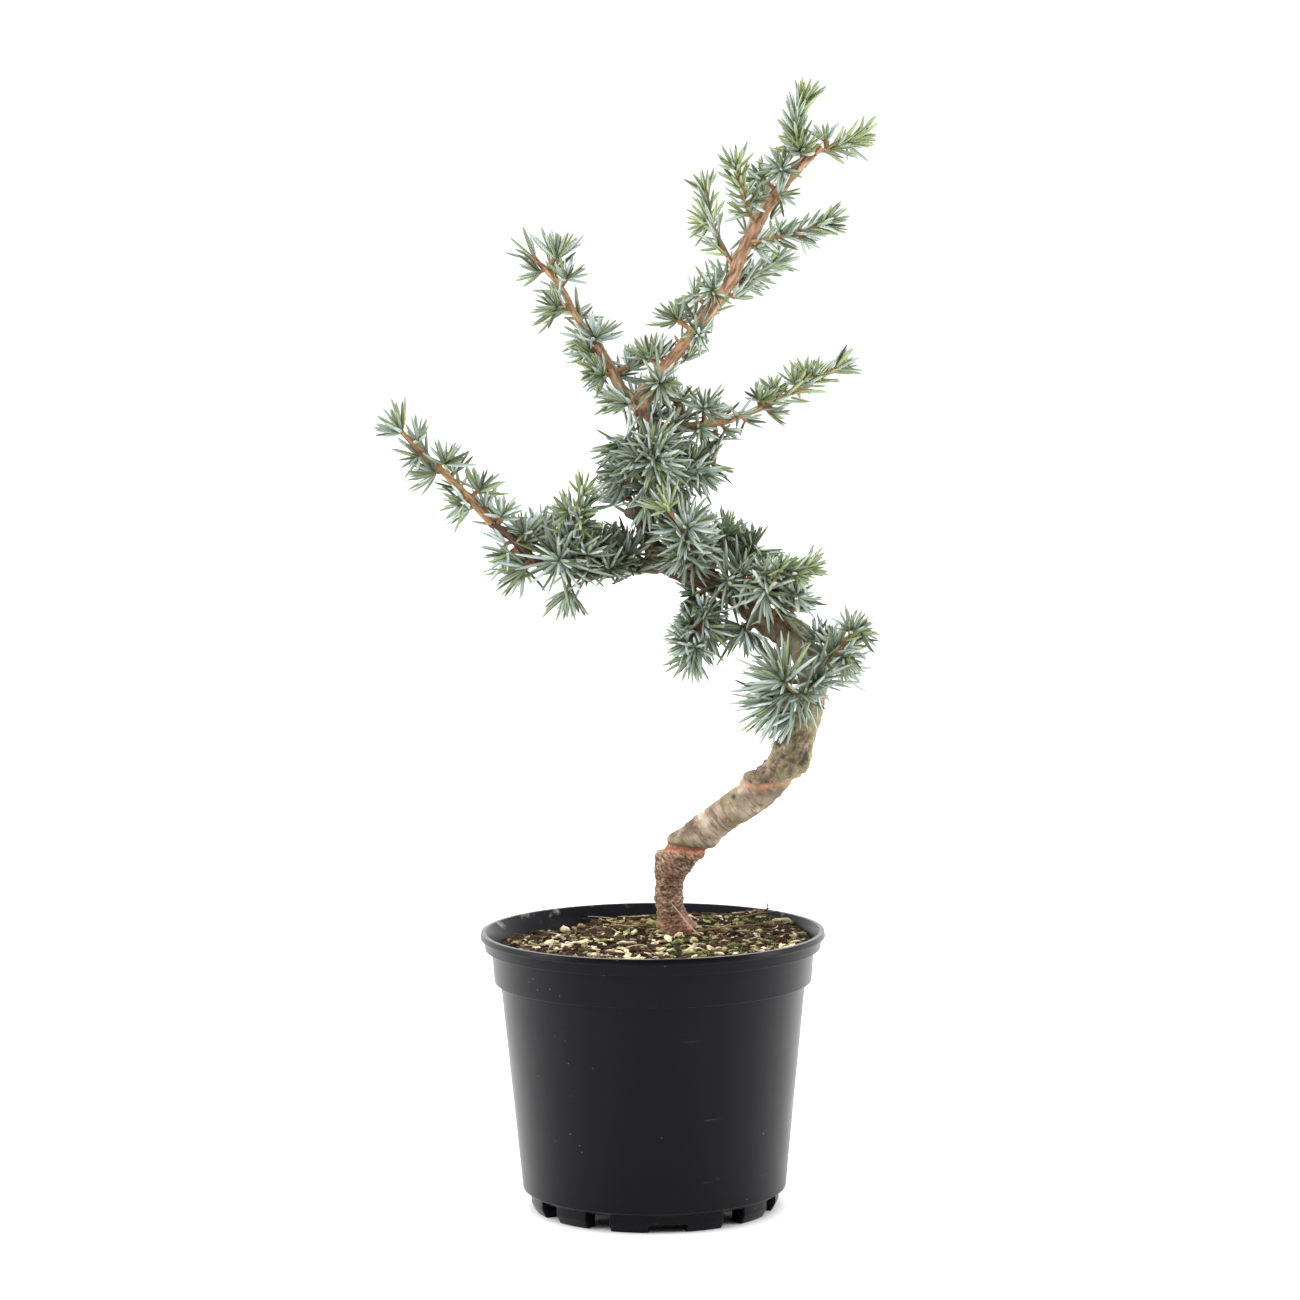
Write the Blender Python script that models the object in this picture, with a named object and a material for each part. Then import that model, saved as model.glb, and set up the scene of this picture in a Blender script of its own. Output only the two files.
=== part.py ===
"""A young blue cedar, grown as a bonsai with a winding trunk, in its black nursery pot.

Each limb is one tapering tube through a few hand-placed stations. Each mass of needles is one
solid: a spur or a shoot, with needles set round it by the golden angle and fused on. Needles
that would touch a limb or another mass are shortened or left out, so every mass keeps to its
own space. Tables are in millimetres; meshes are made in metres.
"""

import math
import random
from dataclasses import dataclass

import bmesh
import bpy
import numpy as np
from mathutils import Vector

MM = 0.001
GAP = 0.3
SEED = 23
GOLDEN_TURN = math.radians(137.508)

# Pot: a two-litre nursery pot, blown thin, with a stepped collar and a castellated foot.
POT_SEGMENTS = 60
RIM_RADIUS = 85.0
RIM_HEIGHT = 137.7
LIP_DEPTH = 2.9
BEAD_RADIUS = 83.0
BEAD_BOTTOM = 129.4
COLLAR_RADIUS = 79.3
COLLAR_BOTTOM = 112.6
NECK_RADIUS = 75.0
SHOULDER_HEIGHT = 10.4
SHOULDER_RADIUS = 65.0
FOOT_RADIUS = 61.4
FOOT_TAPER = 2.2
FOOT_DEPTH = 8.5
FOOT_HEIGHT = 8.2
FOOT_SEGMENTS = 3
FOOT_PITCH_SEGMENTS = 5
FRONT_GAP_SEGMENTS = 3
FRONT_GAP_START = -3.0
BRIDGE_HEIGHT = 4.2
PAD_RADIUS = 16.0
WALL = 1.9
FLOOR_TOP = 10.4
STEP_EDGE = 0.4
COLLAR_SLOPE = 1.2
RIM_THICKNESS = 2.8

# Potting mix: fills the pot to just under the rim, mounded a little towards the stem.
SOIL_EDGE_HEIGHT = 131.0
SOIL_RINGS = (22.0, 52.0)
SOIL_SEAT = 133.2
SEAT_RADIUS = 26.0
SOIL_BUMP = 1.1
SOIL_TILT = 2.4
SOIL_GAP = 0.4
SOIL_BORDER = 4.0

# Limbs: stations of the middle line as x, y, height, radius.
TRUNK_SIDES = 8
TRUNK_STEP = 10.5
BOUGH_SIDES = 6
BOUGH_STEP = 10.0
BOUGH_COLLAR = 0.7
ROOT_LOBES = 5
ROOT_LOBE_DEPTH = 0.16
ROOT_FLARE_HEIGHT = 14.0
FOOT_CUT_REACH = 2.5
TRUNK = (
    (12, 20, 133.5, 9.6), (9, 19, 145, 7.2), (8, 19, 157, 7.1), (12, 16, 171, 9.0),
    (33, 10, 191, 8.1), (54, 4, 207, 8.8), (68.5, -1, 225, 8.3), (77, -2, 246, 6.9),
    (79.5, 1, 262, 6.8), (72, 6, 279, 7.2), (57, 13, 289, 7.0), (44, 18, 300, 6.4),
    (30, 21, 308, 5.8), (8, 19, 317, 5.2), (-2, 12, 334, 4.8), (-2, 6, 359, 4.2),
    (-2, 3, 381, 3.6), (-4, 0, 392, 3.7), (-3, -2, 401, 3.7), (9, -4, 415.5, 3.1),
    (38, -4, 453, 3.1),
    (45, 0, 468, 3.3), (57, 5, 490, 3.1), (71, 7, 508, 2.7), (84, 9, 520.5, 2.2),
)
BOUGHS = {
    "left_bough": (
        (4, 17.5, 317, 3.5), (-19, 14, 314, 3.1), (-33, 9, 313, 2.9), (-47, 3, 316, 2.5),
        (-57, -3, 321, 2.3), (-67, -9, 332, 2.2), (-77, -14, 340, 2.1)),
    "upper_left_bough": (
        (-4, -1, 394, 3.0), (-14, 3.4, 404.2, 2.6), (-19.2, 7, 414.3, 2.4),
        (-25, 11, 425, 2.2)),
    "right_bough": (
        (-2, 3, 383, 2.8), (18, 9, 384.5, 2.4), (35, 15, 387, 2.2), (47, 20, 390, 2.0)),
    "trunk_stub": ((-2, 10, 340, 3.3), (-8, 2, 342.8, 3.2), (-10, -1, 343.8, 3.0)),
}

# Needles: slim three-sided spikes, a little larger than life.
NEEDLE_RADIUS = 0.95
NEEDLE_SIDES = 3
NEEDLE_ROOT = 0.7
SHORTER = (1.0, 0.8, 0.62)
LENGTH_SPREAD = (0.84, 1.0)

# Whorls: angles from the axis in degrees, from the steepest needle to the flattest.
WHORL_STEEPEST = 12.0
WHORL_OPENING = 0.75
TUFT_FLATTEST = 78.0
SIDE_WHORL_FLATTEST = 92.0
SIDE_WHORL_TILT = 72.0
SIDE_WHORL_LAST = 0.88
SINGLE_TILT = 62.0
SINGLE_TILT_LOSS = 18.0
SINGLE_LAST = 0.95

# Spurs and shoots: their stems and the buds that end them.
SPUR_SIDES = 4
SPUR_CLEARANCE = 1.8
SPUR_RADIUS = 1.5
BUD_RADIUS = 2.2
BUD_LENGTH = 1.6
BUD_TIP_SHARE = 0.7
SHOOT_SIDES = 4
SHOOT_STEP = 12.0
SHOOT_LAST_SHARE = 0.6
SHOOT_FIRST_GROWTH = 1.1
SHOOT_COLLAR = 3.0
SIDE_SPUR = 3.4
SIDE_SPUR_RADIUS = 1.2


@dataclass(frozen=True)
class Rosette:
    """One whorl of needles on a spur: its heart, its aim, its needle count and length."""

    heart: tuple
    aim: tuple
    needles: int
    length: float
    flattest: float = 88.0


@dataclass(frozen=True)
class Shoot:
    """One young shoot: its stations, side whorls, single needles and the tuft at its tip."""

    carrier: str
    route: tuple
    tuft: int
    tip_length: float
    whorls: int = 0
    whorl_needles: int = 0
    singles: int = 0
    length: float = 0.0
    first: float = 0.15
    rosettes: tuple = ()


ROSETTES = {
    "trunk": (
        Rosette((79.5, -9, 261), (0.6, -0.8, -0.2), 12, 26),
        Rosette((90, 8, 268), (0.6, 0.8, 0.2), 9, 22),
        Rosette((62, 4, 297), (0.75, -0.3, 0.55), 11, 25),
        Rosette((45, 10, 286), (-0.35, -0.5, -0.8), 9, 20),
        Rosette((38, 9, 309), (0.45, -0.85, -0.25), 12, 25),
        Rosette((30, 27, 324), (0.0, 0.55, 0.85), 10, 25),
        Rosette((46, 24, 318), (0.45, 0.25, 0.85), 11, 24),
        Rosette((11, 12, 328), (0.5, -0.55, 0.65), 10, 24),
        Rosette((2, -8, 369), (0.05, -1.0, 0.05), 14, 20),
        Rosette((-14, 2, 377), (-0.85, -0.25, 0.4), 10, 20),
        Rosette((-13, 9, 358), (-0.95, 0.1, -0.1), 9, 19),
        Rosette((-2, 19, 352), (0.0, 1.0, 0.1), 8, 19),
        Rosette((1, 14.5, 389), (0.3, 0.9, 0.2), 8, 19),
        Rosette((0, 1, 419), (-0.35, 0.15, 0.9), 9, 16),
        Rosette((5, -13, 407), (0.1, -1.0, -0.1), 11, 17),
        Rosette((14, -1, 437), (-0.5, 0.3, 0.8), 9, 15),
        Rosette((24, -14, 430), (0.5, -0.85, -0.1), 9, 14),
        Rosette((18, 3, 417), (0.8, 0.55, -0.3), 9, 14),
        Rosette((32, 6, 440), (0.45, 0.85, -0.2), 8, 14),
        Rosette((31, -13, 451), (-0.3, -0.95, 0.1), 9, 14),
        Rosette((54, 13, 496), (-0.4, 0.9, 0.3), 8, 14),
        Rosette((65, -2, 509), (-0.5, -0.8, 0.4), 9, 14),
    ),
    "left_bough": (
        Rosette((-9, 9, 323), (-0.3, -0.75, 0.35), 9, 22),
        Rosette((-26, 13, 324), (-0.1, 0.5, 0.85), 9, 20),
        Rosette((-44, -5, 321), (-0.05, -0.95, 0.1), 12, 27),
        Rosette((-40, 2, 305), (0.05, -0.3, -1.0), 9, 20),
        Rosette((-53, 4, 334), (0.1, 0.45, 0.9), 9, 18),
        Rosette((-62, -7, 334), (-0.2, -0.3, 0.9), 8, 15),
        Rosette((-72, -14, 343), (0.35, -0.2, 0.9), 8, 14),
        Rosette((-62, -3, 316), (-0.5, 0.5, -0.7), 8, 18),
    ),
    "upper_left_bough": (
        Rosette((-10, -5, 397), (-0.9, -0.35, -0.2), 10, 17.5),
        Rosette((-10, 6, 414), (0.1, 0.3, 0.95), 9, 16),
        Rosette((-22, 2, 410), (-0.9, -0.35, 0.25), 8, 12.5),
        Rosette((-29, 13, 421), (-0.85, 0.1, 0.45), 9, 15.5),
    ),
    "right_bough": (
        Rosette((14, 13, 397), (0.2, 0.6, 0.8), 9, 19),
        Rosette((27, 6, 394), (0.4, -0.6, 0.7), 9, 18),
        Rosette((33, 15, 377), (0.4, 0.3, -0.85), 9, 15),
    ),
}

SHOOTS = {
    "left_shoot": Shoot(
        "left_bough", ((-77, -14, 340), (-95, -23, 361), (-107, -30, 373), (-119, -37, 386)),
        tuft=8, tip_length=15.5, rosettes=(
            Rosette((-98, -31, 369), (0.25, -0.2, 0.95), 7, 14.5),
            Rosette((-83, -19, 353), (0.35, 0.3, 0.9), 7, 15),
            Rosette((-102, -27, 361), (-0.95, 0.2, 0.15), 7, 17),
            Rosette((-89, -22, 347), (-0.95, -0.2, -0.1), 7, 15.5),
            Rosette((-108, -35, 378), (0.1, -0.6, 0.8), 4, 13))),
    "left_upright_shoot": Shoot(
        "left_bough", ((-40, 7, 317), (-39, -2, 330), (-36, -7, 341), (-32.5, -12, 353.5)),
        whorls=2, whorl_needles=5, singles=4, tuft=6, length=14, tip_length=13),
    "upper_left_shoot": Shoot(
        "upper_left_bough", ((-25, 11, 425), (-35, 18, 438), (-43, 25, 453), (-56, 31, 467)),
        tuft=3, tip_length=18, rosettes=(
            Rosette((-45, 27, 467), (0.05, 0.1, 1.0), 8, 15),
            Rosette((-40, 20, 457), (0.5, -0.35, 0.8), 7, 14),
            Rosette((-44, 18, 440), (-0.85, -0.3, 0.4), 7, 15.5),
            Rosette((-35, 23, 441), (0.2, 0.5, 0.85), 4, 15),
            Rosette((-26, 9, 428), (0.3, -0.35, 0.9), 9, 17.5))),
    "right_shoot": Shoot(
        "right_bough", ((47, 20, 390), (64, 26, 397), (78, 32, 404), (93, 38, 412)),
        singles=8, tuft=6, length=13, tip_length=13, rosettes=(
            Rosette((55, 22, 397), (0.2, -0.2, 0.95), 6, 13.5),
            Rosette((61, 29, 401), (0.3, 0.3, 0.9), 6, 13),
            Rosette((72, 31, 405), (0.2, -0.1, 0.95), 6, 11.5),
            Rosette((78, 36, 409), (0.1, 0.2, 0.95), 5, 11.5))),
    "leader_shoot_1": Shoot(
        "trunk", ((37, -4, 463), (33, 9, 479), (30, 19, 490), (28, 25, 500)),
        singles=10, tuft=5, length=14, tip_length=11),
    "leader_shoot_2": Shoot(
        "trunk", ((51, 1, 483), (47, -11, 494), (44, -21, 504), (42, -27, 512)),
        singles=10, tuft=5, length=14, tip_length=12),
    "leader_shoot_3": Shoot(
        "trunk", ((48, 1, 474), (60, -9, 476), (69, -16, 478), (84, -25, 483)),
        singles=11, tuft=5, length=13, tip_length=13),
    "leader_shoot_4": Shoot(
        "trunk", ((36, -4, 451), (47, 7, 456), (57, 16, 461), (63, 21, 464)),
        singles=10, tuft=5, length=14, tip_length=12),
    "leader_shoot_5": Shoot(
        "trunk", ((82, 9, 517), (90, 14, 519), (96, 19, 522), (104, 24, 525)),
        singles=9, tuft=5, length=12, tip_length=11.5),
    "leader_tip_shoot": Shoot(
        "trunk", ((76, 8, 515), (74, 4, 525), (74, 0, 533), (77, -3, 541)),
        whorls=1, whorl_needles=8, singles=8, tuft=6, length=15, tip_length=14, first=0.45),
    "middle_right_shoot": Shoot(
        "trunk", ((-2, 6, 357), (12, 9, 361), (24, 11, 365), (31, 11, 367)),
        whorls=2, whorl_needles=7, tuft=6, length=18, tip_length=13, first=0.35),
    "front_shoot": Shoot(
        "trunk", ((20, 20, 312), (19, 2, 327), (15, -9, 337), (8, -18, 347)),
        whorls=2, whorl_needles=7, tuft=7, length=20, tip_length=16, first=0.3),
    "lower_front_shoot": Shoot(
        "trunk", ((43, 18, 301), (45, 4, 309.5), (58, -6, 312), (76, -12, 317)),
        whorls=2, whorl_needles=5, singles=4, tuft=7, length=14, tip_length=13, first=0.4),
    "hanging_shoot": Shoot(
        "trunk", ((26, 20, 306), (25, 10, 292), (23, 5, 282), (20, 1, 272)),
        whorls=2, whorl_needles=7, tuft=7, length=17, tip_length=15, first=0.4),
    "low_right_shoot": Shoot(
        "trunk", ((78, 4, 269), (86, -7, 271), (93, -14, 280.5), (99, -18, 287)),
        whorls=2, whorl_needles=5, singles=5, tuft=6, length=15, tip_length=11, first=0.3),
    "low_left_shoot": Shoot(
        "trunk", ((78, -2, 250), (70, -14, 256), (64, -21, 263)),
        whorls=1, whorl_needles=8, tuft=10, length=26, tip_length=26, first=0.5),
}


class Limb:
    """A tube's middle line, sampled evenly, with its radius at each sample."""

    def __init__(self, stations, step):
        """Args: stations: rows of x, y, z, radius in millimetres; step: sample spacing."""
        rows = np.array(stations, dtype=float)
        padded = np.vstack((2 * rows[0] - rows[1], rows, 2 * rows[-1] - rows[-2]))
        samples = []
        for before, start, end, after in zip(padded, padded[1:], padded[2:], padded[3:]):
            reach = np.linalg.norm(end[:3] - start[:3])
            count = max(1, round(reach / step))
            for share in np.arange(count) / count:
                samples.append(curve_through(before, start, end, after, share))
        samples.append(rows[-1])
        table = np.array(samples)
        self.points = table[:, :3]
        self.radii = table[:, 3]
        self.tangents = unit_rows(np.gradient(self.points, axis=0))

    def nearest(self, point):
        """Returns the point on the middle line nearest to `point`, its radius and tangent."""
        starts = self.points[:-1]
        spans = self.points[1:] - starts
        lengths = (spans * spans).sum(axis=1)
        shares = np.clip(((point - starts) * spans).sum(axis=1) / lengths, 0.0, 1.0)
        feet = starts + spans * shares[:, None]
        best = int(np.argmin(np.linalg.norm(feet - point, axis=1)))
        share = shares[best]
        radius = self.radii[best] * (1 - share) + self.radii[best + 1] * share
        return feet[best], radius, unit(spans[best])


class Space:
    """The needles and limbs placed so far, as round-ended rods, to keep new ones clear."""

    def __init__(self):
        self.starts = []
        self.ends = []
        self.radii = []
        self.owners = []

    def add(self, owner, points, radii):
        """Adds a chain of rods through `points` that belongs to the node `owner`."""
        for start, end, radius in zip(points, points[1:], radii):
            self.starts.append(start)
            self.ends.append(end)
            self.radii.append(radius)
            self.owners.append(owner)

    def is_clear(self, owner, start, end, radius):
        """Tells whether a rod stays GAP away from every rod of the other nodes."""
        others = np.array(self.owners) != owner
        if not others.any():
            return True
        starts = np.array(self.starts)[others]
        ends = np.array(self.ends)[others]
        limits = np.array(self.radii)[others] + radius + GAP
        return bool((rod_distances(start, end, starts, ends) > limits).all())


def unit(vector):
    """Returns the vector at length one."""
    return np.asarray(vector, dtype=float) / np.linalg.norm(vector)


def unit_rows(rows):
    """Returns each row at length one."""
    return rows / np.linalg.norm(rows, axis=1)[:, None]


def curve_through(before, start, end, after, share):
    """Returns the Catmull-Rom point between `start` and `end`."""
    return 0.5 * (
        2 * start + (end - before) * share
        + (2 * before - 5 * start + 4 * end - after) * share ** 2
        + (3 * start - before - 3 * end + after) * share ** 3)


def rod_distances(start, end, starts, ends):
    """Returns the least distance from one segment to each of many segments."""
    mine = end - start
    theirs = ends - starts
    between = start - starts
    a = mine @ mine
    e = (theirs * theirs).sum(axis=1)
    f = (theirs * between).sum(axis=1)
    c = between @ mine
    b = theirs @ mine
    spread = np.maximum(a * e - b * b, 1e-9)
    s = np.clip((b * f - c * e) / spread, 0.0, 1.0)
    t = np.clip((b * s + f) / e, 0.0, 1.0)
    s = np.clip((b * t - c) / a, 0.0, 1.0)
    gaps = between + mine * s[:, None] - theirs * t[:, None]
    return np.linalg.norm(gaps, axis=1)


def across(axis):
    """Returns two directions square to `axis` and to each other."""
    helper = (0.0, 0.0, 1.0) if abs(axis[2]) < 0.9 else (1.0, 0.0, 0.0)
    first = unit(np.cross(axis, helper))
    return first, np.cross(axis, first)


def aim_at(axis, polar, turn):
    """Returns the direction `polar` away from `axis`, turned `turn` about it."""
    first, second = across(axis)
    ring = first * math.cos(turn) + second * math.sin(turn)
    return axis * math.cos(polar) + ring * math.sin(polar)


def new_material(name, colour, roughness):
    """Makes a Principled material of one colour."""
    material = bpy.data.materials.new(name)
    material.use_nodes = True
    shader = material.node_tree.nodes["Principled BSDF"]
    shader.inputs["Base Color"].default_value = (*colour, 1.0)
    shader.inputs["Roughness"].default_value = roughness
    shader.inputs["Metallic"].default_value = 0.0
    return material


def new_object(name, builder, material=None):
    """Turns a bmesh in millimetres into an object in metres."""
    bmesh.ops.scale(builder, vec=(MM, MM, MM), verts=builder.verts)
    bmesh.ops.recalc_face_normals(builder, faces=builder.faces)
    mesh = bpy.data.meshes.new(name)
    builder.to_mesh(mesh)
    builder.free()
    if material:
        mesh.materials.append(material)
    thing = bpy.data.objects.new(name, mesh)
    bpy.context.scene.collection.objects.link(thing)
    return thing


def tube(points, radii, sides, pointed=False, shape=None):
    """Sweeps a ring along a chain of points by extruding it from one to the next.

    Args:
        points: the middle line.
        radii: the radius at each point.
        sides: corners of the ring.
        pointed: draws the last ring to a point.
        shape: a factor on the radius from the point's number and the corner's angle.
    """
    builder = bmesh.new()
    tangents = unit_rows(np.gradient(np.array(points, dtype=float), axis=0))
    heading = Vector(tangents[0])
    ring = bmesh.ops.create_circle(builder, cap_ends=True, segments=sides, radius=1.0)["verts"]
    frame = heading.to_track_quat("Z", "Y")
    cap = builder.faces[:]
    for number, (point, radius, tangent) in enumerate(zip(points, radii, tangents)):
        if number:
            frame = heading.rotation_difference(Vector(tangent)) @ frame
            heading = Vector(tangent)
            grown = bmesh.ops.extrude_face_region(builder, geom=cap)
            if number > 1:
                bmesh.ops.delete(builder, geom=cap, context="FACES_ONLY")
            cap = [item for item in grown["geom"] if isinstance(item, bmesh.types.BMFace)]
            ring = [item for item in grown["geom"] if isinstance(item, bmesh.types.BMVert)]
        place_ring(cap[0], frame, point, radius, number, shape)
    if pointed:
        bmesh.ops.pointmerge(builder, verts=ring, merge_co=Vector(points[-1]))
    return builder


def place_ring(cap, frame, point, radius, number, shape):
    """Sets the corners of a cap on a ring round `point`, square to the frame's Z axis."""
    sides = len(cap.verts)
    for corner, vertex in enumerate(cap.verts):
        angle = math.tau * corner / sides
        reach = radius * (shape(number, angle) if shape else 1.0)
        flat = Vector((math.cos(angle), math.sin(angle), 0.0)) * reach
        vertex.co = frame @ flat + Vector(point)


def keep_largest_shell(builder):
    """Drops loose scraps and sealed hollows, so that one closed shell is left."""
    unseen = set(builder.verts)
    shells = []
    while unseen:
        queue = [unseen.pop()]
        shell = set(queue)
        while queue:
            for edge in queue.pop().link_edges:
                for vertex in edge.verts:
                    if vertex in unseen:
                        unseen.remove(vertex)
                        shell.add(vertex)
                        queue.append(vertex)
        shells.append(shell)
    shells.sort(key=len, reverse=True)
    for shell in shells[1:]:
        bmesh.ops.delete(builder, geom=list(shell), context="VERTS")


def fuse(base, extras):
    """Joins `extras` to `base` with one Boolean union, then removes them."""
    group = bpy.data.collections.new(base.name + "_extras")
    bpy.context.scene.collection.children.link(group)
    for extra in extras:
        bpy.context.scene.collection.objects.unlink(extra)
        group.objects.link(extra)
    union = base.modifiers.new("union", "BOOLEAN")
    union.operation = "UNION"
    union.operand_type = "COLLECTION"
    union.collection = group
    union.solver = "MANIFOLD"
    graph = bpy.context.evaluated_depsgraph_get()
    joined = bpy.data.meshes.new_from_object(base.evaluated_get(graph))
    base.modifiers.clear()
    base.data = joined
    for extra in extras:
        bpy.data.objects.remove(extra)
    bpy.data.collections.remove(group)
    builder = bmesh.new()
    builder.from_mesh(joined)
    keep_largest_shell(builder)
    builder.to_mesh(joined)
    builder.free()


def shade(thing, sharp_degrees=40.0):
    """Shades an object smooth except at sharp edges."""
    thing.data.shade_smooth()
    thing.data.set_sharp_from_angle(angle=math.radians(sharp_degrees))


def pot_outline():
    """Returns the pot's outline as radius and height, from the underside round to the floor."""
    neck_inside = NECK_RADIUS - WALL
    return (
        (0.0, FOOT_HEIGHT), (PAD_RADIUS, FOOT_HEIGHT), (FOOT_RADIUS - FOOT_DEPTH, FOOT_HEIGHT),
        (FOOT_RADIUS, FOOT_HEIGHT), (SHOULDER_RADIUS, SHOULDER_HEIGHT),
        (NECK_RADIUS, COLLAR_BOTTOM), (COLLAR_RADIUS - COLLAR_SLOPE, COLLAR_BOTTOM + COLLAR_SLOPE / 2),
        (COLLAR_RADIUS, BEAD_BOTTOM - STEP_EDGE),
        (BEAD_RADIUS - STEP_EDGE, BEAD_BOTTOM), (BEAD_RADIUS, RIM_HEIGHT - LIP_DEPTH - STEP_EDGE),
        (RIM_RADIUS, RIM_HEIGHT - LIP_DEPTH), (RIM_RADIUS - STEP_EDGE, RIM_HEIGHT),
        (RIM_RADIUS - RIM_THICKNESS, RIM_HEIGHT), (COLLAR_RADIUS - WALL, BEAD_BOTTOM + WALL),
        (neck_inside, COLLAR_BOTTOM),
        (SHOULDER_RADIUS - WALL, FLOOR_TOP), (0.0, FLOOR_TOP))


def pot_inside(height):
    """Returns the pot's inner radius at a height."""
    outline = pot_outline()
    inner = outline[-2:-5:-1]
    return float(np.interp(height, [row[1] for row in inner], [row[0] for row in inner]))


def spun(outline):
    """Turns an outline of radius and height about the upright axis."""
    builder = bmesh.new()
    start = math.radians(FRONT_GAP_START)
    across_x, across_y = math.sin(start), -math.cos(start)
    corners = [builder.verts.new((radius * across_x, radius * across_y, height))
               for radius, height in outline]
    edges = [builder.edges.new(pair) for pair in zip(corners, corners[1:])]
    bmesh.ops.spin(
        builder, geom=corners + edges, cent=(0, 0, 0), axis=(0, 0, 1), angle=math.tau,
        steps=POT_SEGMENTS, use_merge=True)
    bmesh.ops.remove_doubles(builder, verts=builder.verts, dist=0.001)
    return builder


def foot_place(face):
    """Returns how many segments a face lies from the front gap, or less than 0 inside it."""
    middle = face.calc_center_median()
    angle = math.atan2(middle.x, -middle.y) - math.radians(FRONT_GAP_START)
    segment = int(angle % math.tau / math.tau * POT_SEGMENTS)
    if segment < FRONT_GAP_SEGMENTS:
        return -1
    return min(segment - FRONT_GAP_SEGMENTS, POT_SEGMENTS - 1 - segment)


def lower(builder, faces, drop):
    """Extrudes faces of the underside down by `drop` and returns the lowered faces."""
    grown = bmesh.ops.extrude_face_region(builder, geom=faces)["geom"]
    moved = [item for item in grown if isinstance(item, bmesh.types.BMVert)]
    bmesh.ops.delete(builder, geom=faces, context="FACES")
    bmesh.ops.translate(builder, verts=moved, vec=(0, 0, -drop))
    return [item for item in grown if isinstance(item, bmesh.types.BMFace)]


def is_foot(face):
    """Tells whether a face of the underside lies over a foot."""
    place = foot_place(face)
    return place >= 0 and place % FOOT_PITCH_SEGMENTS < FOOT_SEGMENTS


def is_bridge(face):
    """Tells whether a face lies in the shallow gap between the two front feet."""
    return foot_place(face) < 0


def make_pot(material):
    """Builds the pot: a turned shell, a flat pad in the middle and twelve feet."""
    builder = spun(pot_outline())
    under = [face for face in builder.faces
             if all(abs(vertex.co.z - FOOT_HEIGHT) < 0.01 for vertex in face.verts)]
    pad = [face for face in under
           if max(vertex.co.xy.length for vertex in face.verts) < PAD_RADIUS + 0.1]
    ring = [face for face in under
            if min(vertex.co.xy.length for vertex in face.verts) > PAD_RADIUS + 1.0]
    lower(builder, pad, FOOT_HEIGHT)
    upper_half = [face for face in ring if is_foot(face) or is_bridge(face)]
    lowered = lower(builder, upper_half, FOOT_HEIGHT - BRIDGE_HEIGHT)
    soles = lower(builder, [face for face in lowered if is_foot(face)], BRIDGE_HEIGHT)
    for vertex in {vertex for face in soles for vertex in face.verts}:
        if vertex.co.xy.length > FOOT_RADIUS - 1.0:
            vertex.co.xy *= 1.0 - FOOT_TAPER / FOOT_RADIUS
    pot = new_object("pot", builder, material)
    shade(pot, 30.0)


def soil_height(x, y):
    """Returns the height of the potting mix: a seat round the stem, uneven further out."""
    stem_x, stem_y = TRUNK[0][:2]
    away = math.hypot(x - stem_x, y - stem_y)
    out = min(1.0, max(0.0, (away - SEAT_RADIUS) / SEAT_RADIUS))
    rough = SOIL_EDGE_HEIGHT + SOIL_TILT * x / COLLAR_RADIUS
    rough += SOIL_BUMP * math.sin(x * 0.11 + 1.0) * math.cos(y * 0.13)
    return SOIL_SEAT * (1.0 - out) + rough * out


def make_soil(material):
    """Builds the plug of potting mix, clear of the pot's wall and floor."""
    low, edge = FLOOR_TOP + GAP, SOIL_EDGE_HEIGHT
    walls = (low, COLLAR_BOTTOM, edge)
    outline = [(0.0, low)]
    outline += [(pot_inside(height) - SOIL_GAP, height) for height in walls]
    outline += [(radius, edge) for radius in reversed(SOIL_RINGS)] + [(0.0, edge)]
    builder = spun(outline)
    inside = pot_inside(edge) - SOIL_BORDER
    for vertex in builder.verts:
        if vertex.co.z > edge - 0.01 and vertex.co.xy.length < inside:
            vertex.co.z = soil_height(vertex.co.x, vertex.co.y)
    new_object("soil", builder, material)


def trunk_shape(limb):
    """Returns the lobed outline of the root flare, fading out up the trunk."""
    def factor(number, angle):
        height = limb.points[number][2] - limb.points[0][2]
        fade = max(0.0, 1.0 - height / ROOT_FLARE_HEIGHT)
        return 1.0 - ROOT_LOBE_DEPTH * fade * (0.5 - 0.5 * math.cos(ROOT_LOBES * angle))
    return factor


def seated_start(limb, carrier):
    """Moves a limb's first station out of its carrier and squares it to the bark."""
    foot, radius, tangent = carrier.nearest(limb.points[1])
    outward = limb.points[1] - foot
    outward = unit(outward - tangent * (outward @ tangent))
    return foot + outward * (radius + GAP), outward


def make_trunk(material, space):
    """Builds the trunk whole, from its flat cut on the soil to the leader's tip."""
    limb = Limb(TRUNK, TRUNK_STEP)
    builder = tube(limb.points, limb.radii, TRUNK_SIDES, shape=trunk_shape(limb))
    foot = limb.points[0][2]
    for vertex in builder.verts:
        if vertex.co.z < foot + FOOT_CUT_REACH:
            vertex.co.z = foot
    shade(new_object("trunk", builder, material))
    space.add("trunk", limb.points, np.maximum(limb.radii[:-1], limb.radii[1:]))
    return limb


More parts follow.
